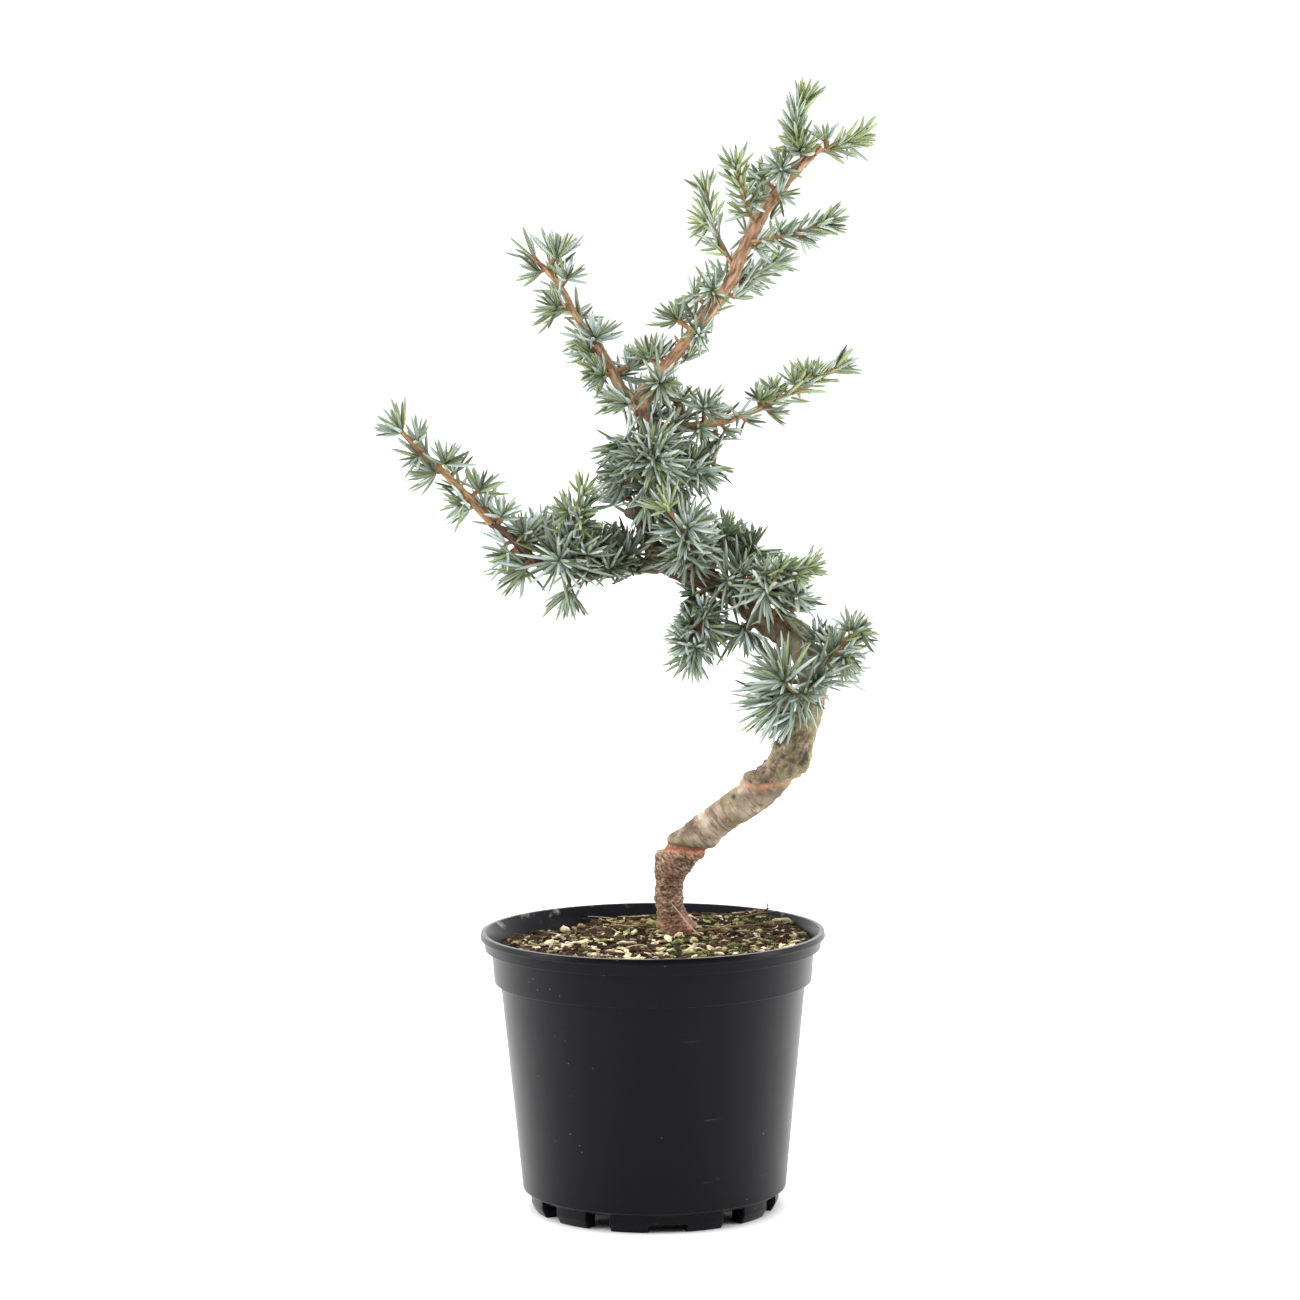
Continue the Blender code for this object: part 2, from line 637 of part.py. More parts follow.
def make_bough(name, stations, trunk, material, space):
    """Builds one tapering bough from the trunk's bark to its tip."""
    limb = Limb(stations, BOUGH_STEP)
    base, outward = seated_start(limb, trunk)
    limb.points[0] = base
    points = np.insert(limb.points, 1, base + outward * limb.radii[0] * BOUGH_COLLAR, axis=0)
    radii = np.insert(limb.radii, 1, limb.radii[0])
    clear = [number for number, point in enumerate(points)
             if number < 2 or (point - base) @ outward > limb.radii[0]]
    limb.points = points[clear]
    limb.radii = radii[clear]
    shade(new_object(name, tube(limb.points, limb.radii, BOUGH_SIDES), material))
    space.add(name, limb.points, np.maximum(limb.radii[:-1], limb.radii[1:]))
    return limb


class Mass:
    """One mass of needles: a spur or a shoot, and the needles fused to it."""

    def __init__(self, name, space, seed):
        """Args: name: the node's name; space: what it keeps clear of; seed: its own dice."""
        self.name = name
        self.space = space
        self.dice = random.Random(seed)
        self.parts = []

    def stem(self, points, radii, sides):
        """Adds a tube and claims its room."""
        self.parts.append(new_object(self.name + "_part", tube(points, radii, sides)))
        self.space.add(self.name, points, radii)

    def needle(self, root, aim, length):
        """Adds one needle, shortened where it would touch something, or none."""
        for share in SHORTER:
            tip = root + aim * length * share
            start = root + aim * BUD_RADIUS
            middle = (start + tip) / 2
            if (self.space.is_clear(self.name, start, middle, NEEDLE_RADIUS)
                    and self.space.is_clear(self.name, middle, tip, NEEDLE_RADIUS / 2)):
                shape = tube((root, tip), (NEEDLE_RADIUS,) * 2, NEEDLE_SIDES, pointed=True)
                self.parts.append(new_object(self.name + "_part", shape))
                self.space.add(
                    self.name, (start, middle, tip), (NEEDLE_RADIUS, NEEDLE_RADIUS / 2))
                return

    def whorl(self, heart, axis, count, length, flattest):
        """Adds needles round a bud, from nearly along its axis to lying back round its collar."""
        phase = self.dice.uniform(0.0, math.tau)
        for number in range(count):
            share = (number + 0.5) / count
            opening = (flattest - WHORL_STEEPEST) * share ** WHORL_OPENING
            polar = math.radians(WHORL_STEEPEST + opening)
            aim = aim_at(axis, polar, phase + number * GOLDEN_TURN)
            reach = length * self.dice.uniform(*LENGTH_SPREAD)
            self.needle(heart + aim * NEEDLE_ROOT, aim, reach)

    def spur(self, base, heart, axis):
        """Adds a short spur that leaves the bark squarely and ends in a bud at `heart`."""
        points = (base, heart, heart + axis * BUD_LENGTH)
        self.stem(points, (SPUR_RADIUS, BUD_RADIUS, BUD_RADIUS * BUD_TIP_SHARE), SPUR_SIDES)

    def finish(self, material):
        """Fuses the parts into the node."""
        base, *extras = self.parts
        base.name = self.name
        base.data.materials.append(material)
        if extras:
            fuse(base, extras)
        base.data.name = self.name


def make_rosette(name, plan, carrier, material, space, seed):
    """Builds one whorl on its spur, seated on its carrier's bark."""
    mass = Mass(name, space, seed)
    heart = np.array(plan.heart, dtype=float)
    foot, radius, tangent = carrier.nearest(heart)
    outward = heart - foot
    outward = unit(outward - tangent * (outward @ tangent) * 0.999)
    base = foot + outward * (radius + GAP)
    least = radius + GAP + BUD_RADIUS + SPUR_CLEARANCE
    if np.linalg.norm(heart - foot) < least:
        heart = foot + outward * least
    axis = unit(plan.aim)
    mass.spur(base, heart, axis)
    mass.whorl(heart, axis, plan.needles, plan.length, plan.flattest)
    mass.finish(material)


def shoot_limb(plan, carriers):
    """Returns a shoot's middle line, started clear of its carrier."""
    girth = SPUR_RADIUS * SHOOT_FIRST_GROWTH
    last = len(plan.route) - 1
    stations = [(*place, girth * (1 - (1 - SHOOT_LAST_SHARE) * number / last))
                for number, place in enumerate(plan.route)]
    limb = Limb(stations, SHOOT_STEP)
    carrier = carriers[plan.carrier]
    end = carrier.points[-1]
    if np.linalg.norm(end - limb.points[0]) < 1.0 and plan.carrier != "trunk":
        ahead = unit(end - carrier.points[-2])
        limb.points[0] = end + ahead * GAP
        limb.points = np.insert(limb.points, 1, end + ahead * SHOOT_COLLAR, axis=0)
    else:
        base, outward = seated_start(limb, carrier)
        limb.points[0] = base
        limb.points = np.insert(limb.points, 1, base + outward * SPUR_CLEARANCE, axis=0)
    limb.radii = np.insert(limb.radii, 1, limb.radii[0])
    limb.tangents = unit_rows(np.gradient(limb.points, axis=0))
    return limb


def point_along(limb, share):
    """Returns the point and the tangent at a share of a limb's length."""
    spans = np.linalg.norm(np.diff(limb.points, axis=0), axis=1)
    marks = np.concatenate(([0.0], np.cumsum(spans)))
    reach = share * marks[-1]
    point = np.array([np.interp(reach, marks, limb.points[:, axis]) for axis in range(3)])
    tangent = unit([np.interp(reach, marks, limb.tangents[:, axis]) for axis in range(3)])
    return point, tangent


def side_spur(mass, foot, heart, axis):
    """Adds a spur that grows out of a shoot's own stem and ends in a bud at `heart`."""
    bud = heart + axis * BUD_LENGTH
    shape = tube((foot, bud), (SIDE_SPUR_RADIUS, BUD_RADIUS), SPUR_SIDES)
    mass.parts.append(new_object(mass.name + "_part", shape))
    mass.space.add(mass.name, (foot, heart), (BUD_RADIUS,))


def make_shoot(name, plan, carriers, material, space, seed):
    """Builds one shoot: side whorls on spurs, single needles and a tuft at the tip."""
    mass = Mass(name, space, seed)
    limb = shoot_limb(plan, carriers)
    mass.stem(limb.points, limb.radii, SHOOT_SIDES)
    phase = mass.dice.uniform(0.0, math.tau)
    tip, ahead = limb.points[-1], limb.tangents[-1]
    mass.whorl(tip - ahead * NEEDLE_ROOT, ahead, plan.tuft, plan.tip_length, TUFT_FLATTEST)
    for rosette in plan.rosettes:
        heart = np.array(rosette.heart, dtype=float)
        foot = limb.nearest(heart)[0]
        axis = unit(rosette.aim)
        side_spur(mass, foot, heart, axis)
        mass.whorl(heart, axis, rosette.needles, rosette.length, rosette.flattest)
    for number in range(plan.whorls):
        share = plan.first + (SIDE_WHORL_LAST - plan.first) * (number + 0.35) / plan.whorls
        point, tangent = point_along(limb, share)
        side = aim_at(tangent, math.radians(SIDE_WHORL_TILT), phase + number * GOLDEN_TURN)
        heart = point + side * SIDE_SPUR
        side_spur(mass, point, heart, side)
        mass.whorl(heart, side, plan.whorl_needles, plan.length, SIDE_WHORL_FLATTEST)
    for number in range(plan.singles):
        share = plan.first + (SINGLE_LAST - plan.first) * (number + 0.5) / plan.singles
        point, tangent = point_along(limb, share)
        polar = math.radians(SINGLE_TILT - SINGLE_TILT_LOSS * share)
        aim = aim_at(tangent, polar, phase + number * GOLDEN_TURN)
        length = plan.length + (plan.tip_length - plan.length) * share
        mass.needle(point, aim, length * mass.dice.uniform(*LENGTH_SPREAD))
    mass.finish(material)


def clear_scene():
    """Removes every object and material that the file starts with."""
    for thing in list(bpy.data.objects):
        bpy.data.objects.remove(thing)
    for material in list(bpy.data.materials):
        bpy.data.materials.remove(material)


def build():
    """Builds the pot, the potting mix, the limbs and every mass of needles."""
    clear_scene()
    space = Space()
    make_pot(new_material("black_plastic", (0.018, 0.019, 0.021), 0.42))
    make_soil(new_material("potting_mix", (0.10, 0.07, 0.045), 0.95))
    trunk = make_trunk(new_material("trunk_bark", (0.24, 0.19, 0.13), 0.85), space)
    carriers = {"trunk": trunk}
    for number, (name, stations) in enumerate(BOUGHS.items()):
        bark = new_material(name + "_bark", (0.27 + 0.01 * number, 0.18, 0.10), 0.8)
        carriers[name] = make_bough(name, stations, trunk, bark, space)
    seed = SEED
    for name, plan in SHOOTS.items():
        seed += 1
        needles = new_material(name + "_needles", (0.17, 0.27, 0.19), 0.6)
        make_shoot(name, plan, carriers, needles, space, seed)
    for carrier, plans in ROSETTES.items():
        for number, plan in enumerate(plans, 1):
            seed += 1
            name = f"{carrier}_needles_{number}"
            needles = new_material(name, (0.14, 0.23, 0.20), 0.6)
            make_rosette(name, plan, carriers[carrier], needles, space, seed)


build()
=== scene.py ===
"""Dresses a young blue cedar, grown as a bonsai with a winding trunk, in its black nursery pot.

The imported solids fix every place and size. Here the bark, the twigs and the needles grow on the
same middle lines, by the same golden-angle rule, with the true number of needles to a whorl.
The turned pot, the potting mix with its grit and moss, the floor, the lights and the camera
follow. Tables are in millimetres; finished meshes are in metres.
"""

from __future__ import annotations

import logging
import math
import random
import sys
from dataclasses import dataclass, field
from enum import Enum
from typing import Any, Callable, Iterable, Optional, Sequence, Union

import bmesh
import bpy
import numpy as np
from bmesh.types import BMesh, BMFace, BMVert
from bpy.types import ColorRamp, Light, Material, Mesh, NodeSocket, NodeTree
from mathutils import Matrix, Vector, noise

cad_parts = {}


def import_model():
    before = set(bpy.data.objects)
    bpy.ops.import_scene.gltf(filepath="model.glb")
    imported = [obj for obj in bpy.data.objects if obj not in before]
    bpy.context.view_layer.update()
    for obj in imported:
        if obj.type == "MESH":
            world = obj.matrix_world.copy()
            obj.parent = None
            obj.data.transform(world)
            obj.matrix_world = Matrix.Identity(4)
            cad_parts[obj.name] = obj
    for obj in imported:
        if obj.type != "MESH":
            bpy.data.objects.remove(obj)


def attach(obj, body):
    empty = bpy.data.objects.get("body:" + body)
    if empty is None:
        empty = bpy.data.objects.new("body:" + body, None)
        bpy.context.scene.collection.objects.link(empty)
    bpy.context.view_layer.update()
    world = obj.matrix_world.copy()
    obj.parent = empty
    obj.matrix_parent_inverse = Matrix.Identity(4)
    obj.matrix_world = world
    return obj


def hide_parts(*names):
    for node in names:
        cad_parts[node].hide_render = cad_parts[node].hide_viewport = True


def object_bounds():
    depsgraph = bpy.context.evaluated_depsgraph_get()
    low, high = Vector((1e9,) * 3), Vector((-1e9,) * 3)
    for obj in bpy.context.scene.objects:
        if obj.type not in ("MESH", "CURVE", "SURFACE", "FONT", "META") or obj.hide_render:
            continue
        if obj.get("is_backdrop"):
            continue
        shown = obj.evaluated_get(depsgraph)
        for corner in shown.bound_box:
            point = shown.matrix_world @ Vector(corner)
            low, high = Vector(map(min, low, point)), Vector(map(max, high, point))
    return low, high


LOG = logging.getLogger("cedar")

MM = 0.001
SEED = 23
GOLDEN_TURN = math.radians(137.508)
BODY = "root"
IMAGE_SIDE = 1300
SENSOR_MM = 36

Array = np.ndarray
Pair = tuple[float, float]
Place = tuple[float, float, float]
Colour = tuple[float, float, float]
Station = tuple[float, float, float, float]

TRUNK: tuple[Station, ...] = (
    (12, 20, 133.5, 9.6), (9, 19, 145, 7.2), (8, 19, 157, 7.1), (12, 16, 171, 9),
    (33, 10, 191, 8.1), (54, 4, 207, 8.8), (68.5, -1, 225, 8.3), (77, -2, 246, 6.9),
    (79.5, 1, 262, 6.8), (72, 6, 279, 7.2), (57, 13, 289, 7), (44, 18, 300, 6.4),
    (30, 21, 308, 5.8), (8, 19, 317, 5.2), (-2, 12, 334, 4.8), (-2, 6, 359, 4.2),
    (-2, 3, 381, 3.6), (-4, 0, 392, 3.7), (-3, -2, 401, 3.7), (9, -4, 415.5, 3.1),
    (38, -4, 453, 3.1), (45, 0, 468, 3.3), (57, 5, 490, 3.1), (71, 7, 508, 2.7),
    (84, 9, 520.5, 2.2),
)
BOUGHS: dict[str, tuple[Station, ...]] = {
    "left_bough": (
        (4, 17.5, 317, 3.5), (-19, 14, 314, 3.1), (-33, 9, 313, 2.9), (-47, 3, 316, 2.5),
        (-57, -3, 321, 2.3), (-67, -9, 332, 2.2), (-77, -14, 340, 2.1)),
    "upper_left_bough": (
        (-4, -1, 394, 3), (-14, 3.4, 404.2, 2.6), (-19.2, 7, 414.3, 2.4), (-25, 11, 425, 2.2)),
    "right_bough": (
        (-2, 3, 383, 2.8), (18, 9, 384.5, 2.4), (35, 15, 387, 2.2), (47, 20, 390, 2)),
    "trunk_stub": ((-2, 10, 340, 3.3), (-8, 2, 342.8, 3.2), (-10, -1, 343.8, 3)),
}


@dataclass(frozen=True)
class Rosette:
    """One whorl of needles: where they spring from, which way their spur points, how many
    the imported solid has, the longest one's length and the lowest one's angle in degrees.
    """

    heart: Sequence[float]
    aim: Sequence[float]
    needles: int
    length: float
    flattest: float = 88.0


def whorl_rows(*rows: tuple[float, ...]) -> tuple[Rosette, ...]:
    """Returns a whorl for each row of heart, aim, needles, length and perhaps flattest."""
    return tuple(Rosette(row[:3], row[3:6], *row[6:]) for row in rows)


@dataclass(frozen=True)
class Shoot:
    """One young shoot on its carrier.

    Args:
        tuft: needles of the tuft at its tip.
        whorls: side whorls on spurs, spaced evenly.
        singles: needles set singly along it.
        length: length of the needles lower down.
        first: the share of its length where needles begin.
        rosettes: whorls whose places are given.
        spring: whether it is this year's growth, which is yellower.
        spread: the angle of the tuft's lowest needles from the shoot, in degrees.
        girth: the stem's radius at its foot.
        fan: the angle of its lowest single needles from the shoot, in degrees.
    """

    carrier: str
    route: tuple[Place, ...]
    tuft: int
    tip_length: float
    whorls: int = 0
    whorl_needles: int = 0
    singles: int = 0
    length: float = 0.0
    first: float = 0.15
    rosettes: tuple[Rosette, ...] = ()
    spring: bool = False
    spread: float = 60.0
    girth: float = 1.25
    fan: float = 54.0


ROSETTES: dict[str, tuple[Rosette, ...]] = {
    "trunk": whorl_rows(
        (79.5, -9, 261, 0.6, -0.8, -0.2, 12, 26), (90, 8, 268, 0.6, 0.8, 0.2, 9, 22),
        (62, 4, 297, 0.75, -0.3, 0.55, 11, 25), (45, 10, 286, -0.35, -0.5, -0.8, 9, 20),
        (38, 9, 309, 0.45, -0.85, -0.25, 12, 25), (30, 27, 324, 0, 0.55, 0.85, 10, 25),
        (46, 24, 318, 0.45, 0.25, 0.85, 11, 24), (11, 12, 328, 0.5, -0.55, 0.65, 10, 24),
        (2, -8, 369, 0.05, -1, 0.05, 18, 21), (-14, 2, 377, -0.85, -0.25, 0.4, 10, 20),
        (-13, 9, 358, -0.95, 0.1, -0.1, 9, 19), (-2, 19, 352, 0, 1, 0.1, 8, 19),
        (1, 14.5, 389, 0.3, 0.9, 0.2, 8, 19), (0, 1, 419, -0.35, 0.15, 0.9, 9, 16),
        (5, -13, 407, 0.1, -1, -0.1, 11, 17), (14, -1, 437, -0.5, 0.3, 0.8, 9, 15),
        (24, -14, 430, 0.5, -0.85, -0.1, 9, 14), (18, 3, 417, 0.8, 0.55, -0.3, 9, 14),
        (32, 6, 440, 0.45, 0.85, -0.2, 8, 14), (31, -13, 451, -0.3, -0.95, 0.1, 9, 14),
        (54, 13, 496, -0.4, 0.9, 0.3, 8, 14), (65, -2, 509, -0.5, -0.8, 0.4, 9, 14)),
    "left_bough": whorl_rows(
        (-9, 9, 323, -0.3, -0.75, 0.35, 9, 22), (-26, 13, 324, -0.1, 0.5, 0.85, 9, 20),
        (-44, -5, 321, -0.05, -0.95, 0.1, 12, 27), (-40, 2, 305, 0.05, -0.3, -1, 9, 20),
        (-53, 4, 334, 0.1, 0.45, 0.9, 9, 18), (-62, -7, 334, -0.2, -0.3, 0.9, 8, 15),
        (-72, -14, 343, 0.35, -0.2, 0.9, 8, 14), (-62, -3, 316, -0.5, 0.5, -0.7, 8, 18)),
    "upper_left_bough": whorl_rows(
        (-10, -5, 397, -0.9, -0.35, -0.2, 10, 17.5), (-10, 6, 414, 0.1, 0.3, 0.95, 9, 16),
        (-22, 2, 410, -0.9, -0.35, 0.25, 8, 12.5), (-29, 13, 421, -0.85, 0.1, 0.45, 9, 15.5)),
    "right_bough": whorl_rows(
        (14, 13, 397, 0.2, 0.6, 0.8, 9, 16.5), (27, 6, 394, 0.4, -0.6, 0.7, 9, 15),
        (33, 15, 377, 0.4, 0.3, -0.85, 9, 15)),
}

SHOOTS: dict[str, Shoot] = {
    "left_shoot": Shoot(
        "left_bough", ((-77, -14, 340), (-95, -23, 361), (-107, -30, 373), (-119, -37, 386)),
        tuft=8, tip_length=15.5, girth=1.95,
        rosettes=whorl_rows((-98, -31, 370, 0.2, -0.2, 0.95, 7, 15.5),
        (-82, -19, 356, 0.3, 0.3, 0.9, 7, 15.5), (-103, -28, 365, -0.9, 0.1, 0.35, 7, 18),
        (-90, -22, 350, -0.95, -0.2, 0.2, 7, 15.5))),
    "left_upright_shoot": Shoot(
        "left_bough", ((-40, 7, 317), (-39, -2, 330), (-36, -7, 341), (-32.5, -12, 353.5)),
        whorls=2, whorl_needles=5, singles=4, tuft=6, length=14, tip_length=13, spring=True,
        rosettes=whorl_rows((-40, -9, 345, -0.8, -0.3, 0.5, 6, 13.5))),
    "upper_left_shoot": Shoot(
        "upper_left_bough", ((-25, 11, 425), (-35, 18, 438), (-43, 25, 453), (-56, 31, 467)),
        tuft=2, tip_length=16, girth=1.8, spread=40,
        rosettes=whorl_rows((-45, 27, 467, 0.05, 0, 1, 9, 18, 62),
        (-40, 20, 457, 0.5, -0.35, 0.8, 7, 14), (-45, 18, 443, -0.9, -0.25, 0.35, 7, 15.5),
        (-35, 23, 441, 0.2, 0.5, 0.85, 4, 15), (-26, 9, 428, 0.3, -0.35, 0.9, 9, 17.5))),
    "right_shoot": Shoot(
        "right_bough", ((47, 20, 390), (64, 26, 397), (78, 32, 404), (93, 38, 412)), singles=10,
        tuft=7, length=12, tip_length=13, girth=1.6, spread=42, fan=44, spring=True,
        rosettes=whorl_rows((55, 22, 397, 0.2, -0.2, 0.95, 6, 11),
        (61, 29, 401, 0.3, 0.3, 0.9, 6, 10.5), (72, 31, 405, 0.2, -0.1, 0.95, 6, 11.5),
        (78, 36, 409, 0.1, 0.2, 0.95, 5, 11.5))),
    "leader_shoot_1": Shoot(
        "trunk", ((37, -4, 463), (33, 9, 479), (30, 19, 490), (28, 25, 500)), singles=12, tuft=6,
        length=15, tip_length=12, spring=True, spread=48, fan=50,
        rosettes=whorl_rows((29, 15, 484, -0.9, -0.1, -0.1, 5, 15))),
    "leader_shoot_2": Shoot(
        "trunk", ((51, 1, 483), (47, -11, 494), (44, -21, 503), (42, -27, 509)), singles=12,
        tuft=6, length=14, tip_length=13, spring=True, spread=48, fan=50),
    "leader_shoot_3": Shoot(
        "trunk", ((48, 1, 474), (60, -9, 476), (69, -16, 478), (84, -25, 483)), singles=13, tuft=6,
        length=13, tip_length=14, spread=46, fan=48),
    "leader_shoot_4": Shoot(
        "trunk", ((36, -4, 451), (47, 7, 456), (57, 16, 461), (63, 21, 464)), singles=12, tuft=6,
        length=14, tip_length=13, spread=48, fan=50),
    "leader_shoot_5": Shoot(
        "trunk", ((82, 9, 517), (90, 14, 519), (96, 19, 522), (104, 24, 525)), singles=10, tuft=6,
        length=12, tip_length=14, spring=True, spread=46, fan=46),
    "leader_tip_shoot": Shoot(
        "trunk", ((75, 8, 514), (72.5, 4, 525), (72, 0, 533), (75, -3, 541)), singles=13, tuft=6,
        length=13, tip_length=14, first=0.3, spring=True, spread=36, fan=44,
        rosettes=whorl_rows((74, 2, 518, -0.1, -0.55, 0.82, 10, 14, 84),
        (73, 8, 524, -0.6, 0.5, 0.6, 5, 11))),
    "middle_right_shoot": Shoot(
        "trunk", ((-2, 6, 357), (12, 9, 361), (24, 11, 365), (31, 11, 367)), whorls=2,
        whorl_needles=7, tuft=6, length=18, tip_length=13, first=0.35),
    "front_shoot": Shoot(
        "trunk", ((20, 20, 312), (19, 2, 327), (15, -9, 337), (8, -18, 347)), whorls=2,
        whorl_needles=7, tuft=7, length=20, tip_length=16, first=0.3, spring=True),
    "lower_front_shoot": Shoot(
        "trunk", ((43, 18, 301), (45, 4, 309.5), (58, -6, 312), (76, -12, 317)), whorls=2,
        whorl_needles=5, singles=4, tuft=7, length=14, tip_length=13, first=0.4, spring=True),
    "hanging_shoot": Shoot(
        "trunk", ((26, 20, 306), (25, 10, 292), (23, 5, 282), (20, 1, 272)), whorls=2,
        whorl_needles=7, tuft=7, length=17, tip_length=15, first=0.4),
    "low_right_shoot": Shoot(
        "trunk", ((78, 4, 269), (86, -7, 271), (93, -14, 280.5), (99, -18, 287)), whorls=2,
        whorl_needles=5, singles=5, tuft=6, length=15, tip_length=11, first=0.3),
    "low_left_shoot": Shoot(
        "trunk", ((78, -2, 250), (70, -14, 256), (64, -21, 263)), whorls=1, whorl_needles=8,
        tuft=10, length=26, tip_length=26, first=0.5),
}


class Bare(Enum):
    """The side that a run leaves bare: an axis, and the least part along it that grows."""

    NOWHERE = (1, -2)
    FRONT = (1, -0.42)
    BELOW = (2, -0.25)

    def grows(self, outward: Array) -> bool:
        """Tells whether a spur may point this way."""
        return outward[self.value[0]] >= self.value[1]


@dataclass(frozen=True)
class Run:
    """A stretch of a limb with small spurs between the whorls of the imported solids.

    Args:
        first: where it starts along the limb.
        last: where it ends.
        spacing: the distance from one spur to the next.
        spur: how far the buds stand from the bark.
        bare: the side where the bark shows.
        tilts: least and greatest angle of the spurs from the limb, in degrees.
        flattest: the angle from the spur of its lowest needles, in degrees.
    """

    first: float
    last: float
    spacing: float
    spur: float
    needles: int
    length: float
    bare: Bare = Bare.NOWHERE
    tilts: Pair = (52, 78)
    flattest: float = 84.0


def shoot_run(first: float, last: float, spacing: float, needles: int, length: float,
              bare: Bare = Bare.NOWHERE) -> Run:
    """Returns a run for a young shoot, whose needles point forward."""
    return Run(first, last, spacing, 2, needles, length, bare, (34, 56), 62)


RUNS: dict[str, tuple[Run, ...]] = {
    "trunk": (
        Run(166, 190, 5, 6, 26, 21, Bare.FRONT), Run(190, 268, 3.8, 7.5, 28, 25, Bare.FRONT),
        Run(268, 298, 3.8, 6.5, 28, 20, Bare.FRONT), Run(298, 326, 2.8, 7, 30, 19),
        Run(326, 350, 5, 5, 20, 16, Bare.FRONT), Run(350, 400, 5.4, 3.2, 16, 12, Bare.FRONT),
        Run(400, 484, 5.4, 3.4, 17, 13, Bare.FRONT)),
    "left_bough": (
        Run(10, 62, 3.2, 6, 27, 20, Bare.BELOW), Run(62, 100, 5.2, 3.6, 20, 15, Bare.FRONT)),
    "upper_left_bough": (Run(9, 44, 4.4, 4, 20, 14.5, Bare.FRONT),),
    "right_bough": (Run(9, 54, 4.2, 3, 16, 11),),
    **{name: (shoot_run(*row),) for name, row in {
        "left_shoot": (4, 58, 4.6, 12, 15, Bare.FRONT),
        "upper_left_shoot": (4, 52, 5.2, 12, 15, Bare.FRONT),
        "right_shoot": (3, 46, 9, 7, 11, Bare.BELOW),
        "left_upright_shoot": (8, 40, 4, 13, 14.5), "leader_shoot_1": (6, 38, 9, 7, 14),
        "leader_shoot_2": (6, 34, 9, 7, 13), "leader_shoot_3": (6, 36, 9, 7, 13),
        "leader_shoot_4": (6, 36, 9, 7, 13), "leader_shoot_5": (6, 24, 9, 7, 12),
        "middle_right_shoot": (6, 32, 3.2, 20, 17), "front_shoot": (6, 40, 3.4, 20, 17),
        "lower_front_shoot": (8, 46, 4.2, 12, 14.5), "hanging_shoot": (6, 38, 4, 18, 16),
        "low_right_shoot": (6, 40, 3.8, 14, 16, Bare.FRONT),
        "low_left_shoot": (8, 26, 8, 18, 24)}.items()},
}


# Open air between the sprays, seen from the front: x, height, half width, half height.
GAPS: tuple[tuple[float, float, float, float], ...] = (
    (-5, 299.5, 19, 12.5), (42, 371, 9, 7), (42, 424.5, 12, 18), (39.5, 478.5, 4, 7),
    (-20, 451, 9, 12), (-18, 386, 9, 5), (94, 243, 10, 11), (44, 273.5, 4, 3), (11, 455, 9, 7),
    (30, 413, 7, 8), (56, 344, 12, 7), (-17.5, 424, 5, 4), (20, 411, 6, 6), (87, 506, 12, 5),
    (-58, 299, 5, 7), (-108, 347, 6, 6), (-91, 330, 8, 5), (63, 328, 9, 4.5), (-32, 451, 3, 5),
    (-27, 380, 5, 4), (-38, 411, 4, 5), (-27, 302, 8, 4.5), (84, 308, 4, 5), (78, 223, 14, 14),
    (-11, 341, 4, 3.5), (-21, 342.5, 5, 2.8),
)

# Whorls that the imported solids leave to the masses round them, by carrier.
FINER: tuple[tuple[str, tuple[Rosette, ...]], ...] = (
    ("trunk", whorl_rows(
        (69, -11, 256, -0.55, -0.35, -0.75, 10, 25),
        (66, -12, 262, -0.95, -0.25, -0.1, 9, 26, 58), (50, 22, 323, 0.55, 0.1, 0.85, 10, 19),
        (38, 20, 330, 0.45, -0.1, 0.9, 10, 18.5), (60, 8, 312, 0.7, -0.2, 0.7, 9, 20),
        (56, -6, 305, 0.1, -0.8, -0.6, 9, 22), (71, -8, 303, 0.55, -0.6, 0.6, 8, 16),
        (62, -15, 252, -0.85, -0.3, -0.45, 10, 26, 52),
        (70, -12, 246, -0.6, -0.3, -0.75, 7, 24, 52), (46, 2, 285, 0.1, -0.3, -0.95, 3, 15, 60))),
    ("hanging_shoot", whorl_rows((27, 5, 286, 0.65, -0.3, -0.7, 5, 20, 52))),
    ("right_shoot", whorl_rows((58, 22, 392, 0.97, 0, -0.2, 3, 12, 56))),
    ("left_bough", whorl_rows(
        (-60, -6, 318, -0.95, -0.3, -0.12, 7, 21, 44),
        (-66, -8, 326, -0.95, -0.25, -0.2, 3, 19, 40))),
    ("trunk", whorl_rows((55, 6, 505, -0.4, 0.1, 0.9, 6, 13))),
    ("leader_shoot_5", whorl_rows((87, 12, 521, -0.1, 0.1, 1, 4, 11, 60))),
    ("trunk", whorl_rows(
        (-1, -5, 348, 0, -0.6, -0.8, 8, 18), (20, 12, 338, 0.5, -0.2, 0.8, 9, 17),
        (80, -1, 281, 0.15, -0.4, 0.9, 7, 14), (22, -2, 449, -0.75, 0.1, 0.65, 8, 12),
        (64, -3, 497, 0.8, -0.5, 0.1, 3, 12))),
    ("hanging_shoot", whorl_rows(
        (17, 1, 279, -0.9, -0.3, -0.15, 8, 14.5), (20, 5, 288, -0.85, -0.3, 0.2, 7, 13))),
    ("low_right_shoot", whorl_rows((94, -13, 273, 0.85, -0.2, -0.4, 8, 14))),
    ("left_bough", whorl_rows(
        (-31, -7, 324, 0.1, -0.5, 0.85, 9, 17), (-12, 3, 321, -0.1, -0.7, 0.6, 10, 21),
        (-24, 4, 326, -0.2, -0.3, 0.9, 8, 17), (-20, -4, 316, 0.2, -0.9, 0.1, 9, 17))),
)


# ---- Directions and middle lines


def unit(vector: Sequence[float]) -> Array:
    """Returns the vector at length one."""
    return np.asarray(vector, dtype=float) / np.linalg.norm(vector)


